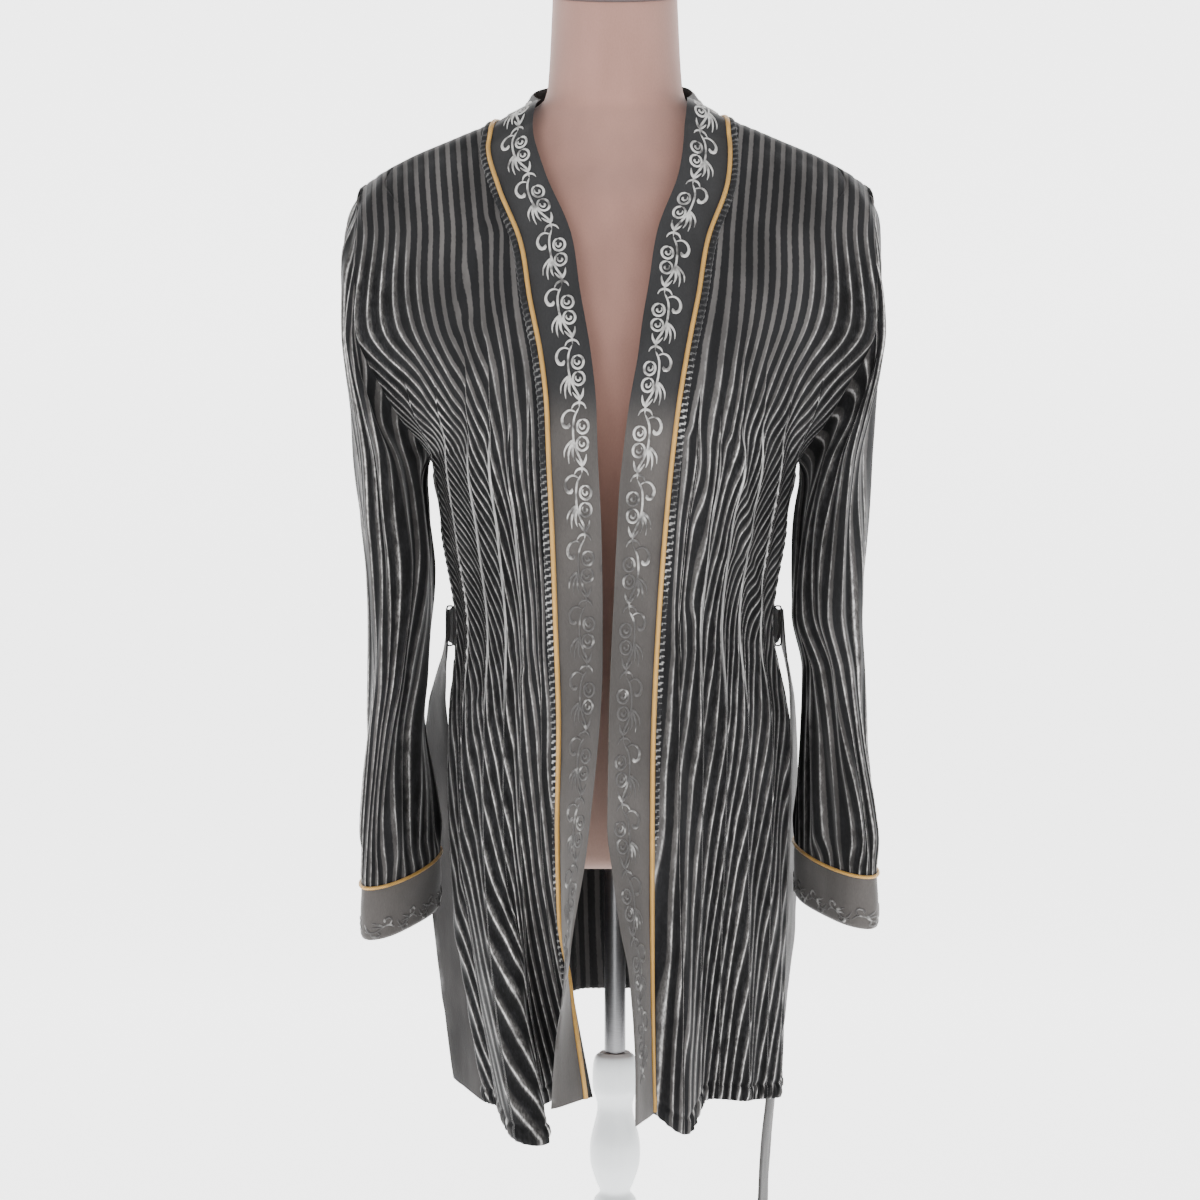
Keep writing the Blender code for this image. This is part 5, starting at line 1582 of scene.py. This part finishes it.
def belt():
    """The tie belt: round the back, through its loops, and down at each side."""
    seat, line, width = belt_back_line()
    upright = np.stack([0 * width, 0 * width, -width], axis=-1)
    declare_sheet(ribbon("belt_back", line, upright, 51), BELT_BACK_CUT)
    for side, name in SIDE_NAME.items():
        rows = FALL[side]
        z = np.linspace(rows[0].z, rows[-1].z, 121)
        x, y, wide, turn = (Profile(rows, "z", field)(z) for field in Fall._fields[1:])
        turn = np.radians(turn)
        line = np.stack([side * x, y, z], axis=-1)
        flat = np.stack([side * np.cos(turn), np.sin(turn), 0 * turn], axis=-1) * wide[:, None]
        flat[:, 2] = FALL_SLANT * ease((np.arange(121) - 90) / 30)
        fall = ribbon(f"belt_fall_{name}", line, flat, 53 + side)
        declare_sheet(fall)
        belt_loop(side, name, seat[-1 if side > 0 else 0])


def belt_loop(side, name, seat):
    """A narrow sewn loop at the side seam, round the belt's end."""
    deep, tall = LOOP_ROOM + LOOP_WALL, LOOP_HEIGHT / 2
    turn = np.linspace(0, 2 * np.pi, 48, endpoint=False)
    x = deep * np.sign(np.cos(turn)) * np.abs(np.cos(turn)) ** 0.5
    z = tall * np.sign(np.sin(turn)) * np.abs(np.sin(turn)) ** 0.35
    path = np.stack([x, 0 * x, z], axis=-1) + seat + [side * BELT_STANDOFF, 0.006, 0]
    ways = unit(np.stack([np.cos(turn), 0 * turn, np.sin(turn)], axis=-1))
    loop = roll(f"robe_belt_loop_{name}", path, ways, LOOP_LENGTH / 2, LOOP_WALL / 2, 10,
                finish_of("dark_velvet"), closed=True)
    finish_piece(loop, "plain_velvet", f"belt_loop_{name}")


def form_profile():
    """The form's sections as smooth columns of height."""
    rows = list(FORM_TORSO)
    for z in FORM_SHOULDER_LEVELS:
        above = z + FORM_DROP
        rows.append(Form(z, min(float(HALF[1](above)), FORM_SHOULDER),
                         float(DEPTH[-1](above)) - FORM_INSET,
                         float(DEPTH[1](above)) - FORM_INSET, FORM_SHOULDER_ROUND))
    rows += [*FORM_NECK, Form(NECK_TOP_Z, 0.0530, 0.053, 0.056, 2.0)]
    return [Profile(rows, "z", field) for field in Form._fields[1:]]


def form_ring(z, angle, scale=1.0):
    """One ring of the form, its top leaning down towards the front."""
    half, front, back, rounding = (float(column(z)) * scale if place < 3 else float(column(z))
                                   for place, column in enumerate(form_profile()))
    sine, cosine = np.sin(angle), np.cos(angle)
    x = half * np.sign(sine) * np.abs(sine) ** (2 / rounding)
    y = -np.where(cosine > 0, front, back) * np.sign(cosine) * np.abs(cosine) ** (2 / rounding)
    tilt = NECK_TOP_SLOPE * float(ease((z - NECK_LEAN_Z) / (NECK_TOP_Z - NECK_LEAN_Z)))
    return np.stack([x, y, z + y * tilt], axis=-1)


def ringed(name, rings, finish):
    """A closed piece from rings of points, with its two ends filled."""
    points = np.stack([np.concatenate([ring, ring[:1]]) for ring in rings])
    bm = bmesh.new()
    grid = lay(bm, points)
    for ring in (grid[0], grid[-1]):
        bm.faces.new(ring[:-1])
    bmesh.ops.remove_doubles(bm, verts=bm.verts, dist=1e-6)
    return new_mesh(name, bm, finish, angle=40)


def form():
    """The padded form in its velour cover, and the cap on its neck."""
    angle = np.linspace(0, 2 * np.pi, 128, endpoint=False)
    levels = np.concatenate([[0.7345], np.linspace(0.738, NECK_TOP_Z, 170)])
    rings = [form_ring(0.734, angle, 0.975)] + [form_ring(z, angle) for z in levels]
    finish_piece(ringed("form_cover", rings, finish_of("form_velour")), "form_cover",
                 "form_torso")
    top = form_ring(NECK_TOP_Z, angle)
    rings = []
    for rise, size in ((0.0004, 0.97), (0.0006, 1.03), (0.0022, 1.045), (0.0085, 1.045),
                       (0.0110, 1.03), (0.0120, 0.99), (0.0122, 0.5)):
        ring = top * [size, size, 1]
        ring[:, 2] = NECK_TOP_Z + ring[:, 1] * NECK_TOP_SLOPE + rise
        rings.append(ring)
    finish_piece(ringed("form_cap", rings, finish_of("cap_lacquer")), "neck_cap", "neck_cap")


def turned(name, outline, finish, around):
    """A turned piece spun from its outline, top to bottom."""
    bm = bmesh.new()
    chain = [bm.verts.new((radius, 0, z)) for radius, z in
             [(0, outline[0][1]), *outline, (0, outline[-1][1])]]
    edges = [bm.edges.new(pair) for pair in zip(chain, chain[1:])]
    bmesh.ops.spin(bm, geom=edges + chain, cent=(0, 0, 0), axis=(0, 0, 1), angle=2 * math.pi,
                   steps=around, use_merge=True)
    bmesh.ops.remove_doubles(bm, verts=bm.verts, dist=1e-6)
    return new_mesh(name, bm, finish, angle=35)


def stand():
    """The steel rod, the turned post and the round base."""
    radius = bpy.context.scene.robe_form.rod
    rod = [(radius - 0.0004, ROD_TOP), (radius, ROD_TOP - 0.0005), (radius, COLLAR_TOP + 0.0004)]
    finish_piece(turned("form_rod", rod, finish_of("brushed_steel"), 48), "rod", "rod")
    outline = smooth_line([(point.radius, point.z) for point in POST], 5)
    outline[:, 1] = np.clip(outline[:, 1], POST[-1].z, POST[0].z)
    finish_piece(turned("form_post", outline, finish_of("white_enamel"), 64), "white_paint",
                 "post")
    outline = [(0.0520, BASE_HEIGHT), (BASE_RADIUS - BASE_EDGE_WIDE, BASE_HEIGHT)]
    for turn in np.linspace(0, math.pi / 2, 9)[1:]:
        outline.append((BASE_RADIUS - BASE_EDGE_WIDE + BASE_EDGE_WIDE * math.sin(turn),
                        BASE_HEIGHT - BASE_EDGE_DEEP + BASE_EDGE_DEEP * math.cos(turn)))
    outline.append((BASE_RADIUS, 0.0))
    finish_piece(turned("form_base", outline, finish_of("white_enamel"), 128), "white_paint",
                 "base")


Lamp = namedtuple("Lamp", "name place power size")
LIGHTS = [
    Lamp("key", (-1.5, -2.4, 2.5), 34, 1.2),
    Lamp("fill", (1.9, -2.2, 1.5), 16, 1.4),
    Lamp("low", (0.2, -2.6, 0.5), 6, 1.4),
]
CAMERA_PLACE = (-0.01275, -1.7, 0.95)
CAMERA_LENS = 60


class ROBE_OT_fronts(bpy.types.Operator):
    """Build both fronts."""
    bl_idname = "robe.fronts"
    bl_label = "Fronts"

    def execute(self, context):
        for side in SIDE_NAME:
            front_panel(side)
        return {"FINISHED"}


class ROBE_OT_back(bpy.types.Operator):
    """Build the back."""
    bl_idname = "robe.back"
    bl_label = "Back"

    def execute(self, context):
        back_panel()
        return {"FINISHED"}


class ROBE_OT_sleeves(bpy.types.Operator):
    """Build both sleeves with their cuffs, piping and scrolls."""
    bl_idname = "robe.sleeves"
    bl_label = "Sleeves and Cuffs"

    def execute(self, context):
        for side in SIDE_NAME:
            cuff(side, *sleeve(side))
        return {"FINISHED"}


class ROBE_OT_band(bpy.types.Operator):
    """Build the front band with its piping, seam strips and embroidery."""
    bl_idname = "robe.band"
    bl_label = "Band and Embroidery"

    def execute(self, context):
        surface = band_surface()
        band_piping(surface)
        band_embroidery(band(surface))
        return {"FINISHED"}


class ROBE_OT_belt(bpy.types.Operator):
    """Build the tie belt and its loops."""
    bl_idname = "robe.belt"
    bl_label = "Belt"

    def execute(self, context):
        belt()
        return {"FINISHED"}


class ROBE_OT_form(bpy.types.Operator):
    """Build the dress form and its stand."""
    bl_idname = "robe.form"
    bl_label = "Dress Form"

    def execute(self, context):
        form()
        stand()
        return {"FINISHED"}


class ROBE_OT_stage(bpy.types.Operator):
    """Set the floor, the lights and the camera."""
    bl_idname = "robe.stage"
    bl_label = "Stage"

    def execute(self, context):
        scene = context.scene
        turn = np.linspace(0, np.pi / 2, 17)
        sweep = np.concatenate([[[-6.0, 0.0]],
                                np.stack([3.0 + 2 * np.sin(turn), 2 - 2 * np.cos(turn)], axis=-1),
                                [[5.0, 9.0]]])
        points = np.zeros((len(sweep), 2, 3))
        points[:, :, 0] = (-14, 14)
        points[:, :, 1:] = sweep[:, None]
        bm = bmesh.new()
        lay(bm, points)
        paper, graph, shader = new_material("studio paper")
        graph.feed(shader.inputs["Base Color"], graph.mix(
            graph.noise(graph.object_place(), 3.0), (0.90, 0.90, 0.90, 1), (0.92, 0.92, 0.92, 1)))
        shader.inputs["Emission Color"].default_value = (1, 1, 1, 1)
        set_shader(shader, 1.0, specular_ior_level=0.0, emission_strength=2.4)
        floor = new_mesh("studio_floor", bm, paper)

        world = bpy.data.worlds.new("studio")
        world.use_nodes = True
        world.node_tree.nodes["Background"].inputs["Color"].default_value = (1, 1, 1, 1)
        world.node_tree.nodes["Background"].inputs["Strength"].default_value = 0.85
        scene.world = world
        for name, place, power, size in LIGHTS:
            light = bpy.data.lights.new(name, "AREA")
            light.energy = power
            light.size = size
            lamp = bpy.data.objects.new(name, light)
            lamp.location = place
            aim = -(lamp.location - frame_middle())
            lamp.rotation_euler = aim.to_track_quat("-Z", "Y").to_euler()
            scene.collection.objects.link(lamp)

        camera = bpy.data.cameras.new("photograph")
        camera.lens = CAMERA_LENS
        camera.sensor_width = 36
        view = bpy.data.objects.new("photograph", camera)
        view.location = CAMERA_PLACE
        view.rotation_euler = (math.pi / 2, 0, 0)
        scene.collection.objects.link(view)
        scene.camera = view
        return {"FINISHED"}


def frame_middle():
    """Where the lights aim: the middle of the robe's front."""
    low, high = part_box("front_left")
    return Vector((0.0, (low[1] + high[1]) / 2, (low[2] + high[2]) / 2))


class ROBE_PT_panel(bpy.types.Panel):
    """Sizes, colours and steps of the robe."""
    bl_label = "Velvet Kimono Robe"
    bl_idname = "ROBE_PT_panel"
    bl_space_type = "VIEW_3D"
    bl_region_type = "UI"
    bl_category = "Robe"

    def draw(self, context):
        layout = self.layout
        for group in (context.scene.robe_velvet, context.scene.robe_trim, context.scene.robe_form):
            box = layout.box()
            for name in group.bl_rna.properties.keys():
                if name not in {"rna_type", "name"}:
                    box.prop(group, name)
        for step in STEPS:
            layout.operator(step.bl_idname)


GROUPS = {"robe_velvet": RobeVelvet, "robe_trim": RobeTrim, "robe_form": RobeForm}
STEPS = (ROBE_OT_stage, ROBE_OT_form, ROBE_OT_fronts, ROBE_OT_back, ROBE_OT_sleeves,
         ROBE_OT_band, ROBE_OT_belt)


def register():
    for group in GROUPS.values():
        bpy.utils.register_class(group)
    for name, group in GROUPS.items():
        setattr(bpy.types.Scene, name, PointerProperty(type=group))
    for step in STEPS:
        bpy.utils.register_class(step)
    bpy.utils.register_class(ROBE_PT_panel)


def unregister():
    bpy.utils.unregister_class(ROBE_PT_panel)
    for step in reversed(STEPS):
        bpy.utils.unregister_class(step)
    for name, group in GROUPS.items():
        delattr(bpy.types.Scene, name)
        bpy.utils.unregister_class(group)


def main():
    register()
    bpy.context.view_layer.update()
    bpy.ops.robe.stage()
    bpy.ops.robe.form()
    bpy.ops.robe.fronts()
    bpy.ops.robe.back()
    bpy.ops.robe.sleeves()
    bpy.ops.robe.band()
    bpy.ops.robe.belt()


if __name__ == "__main__":
    main()
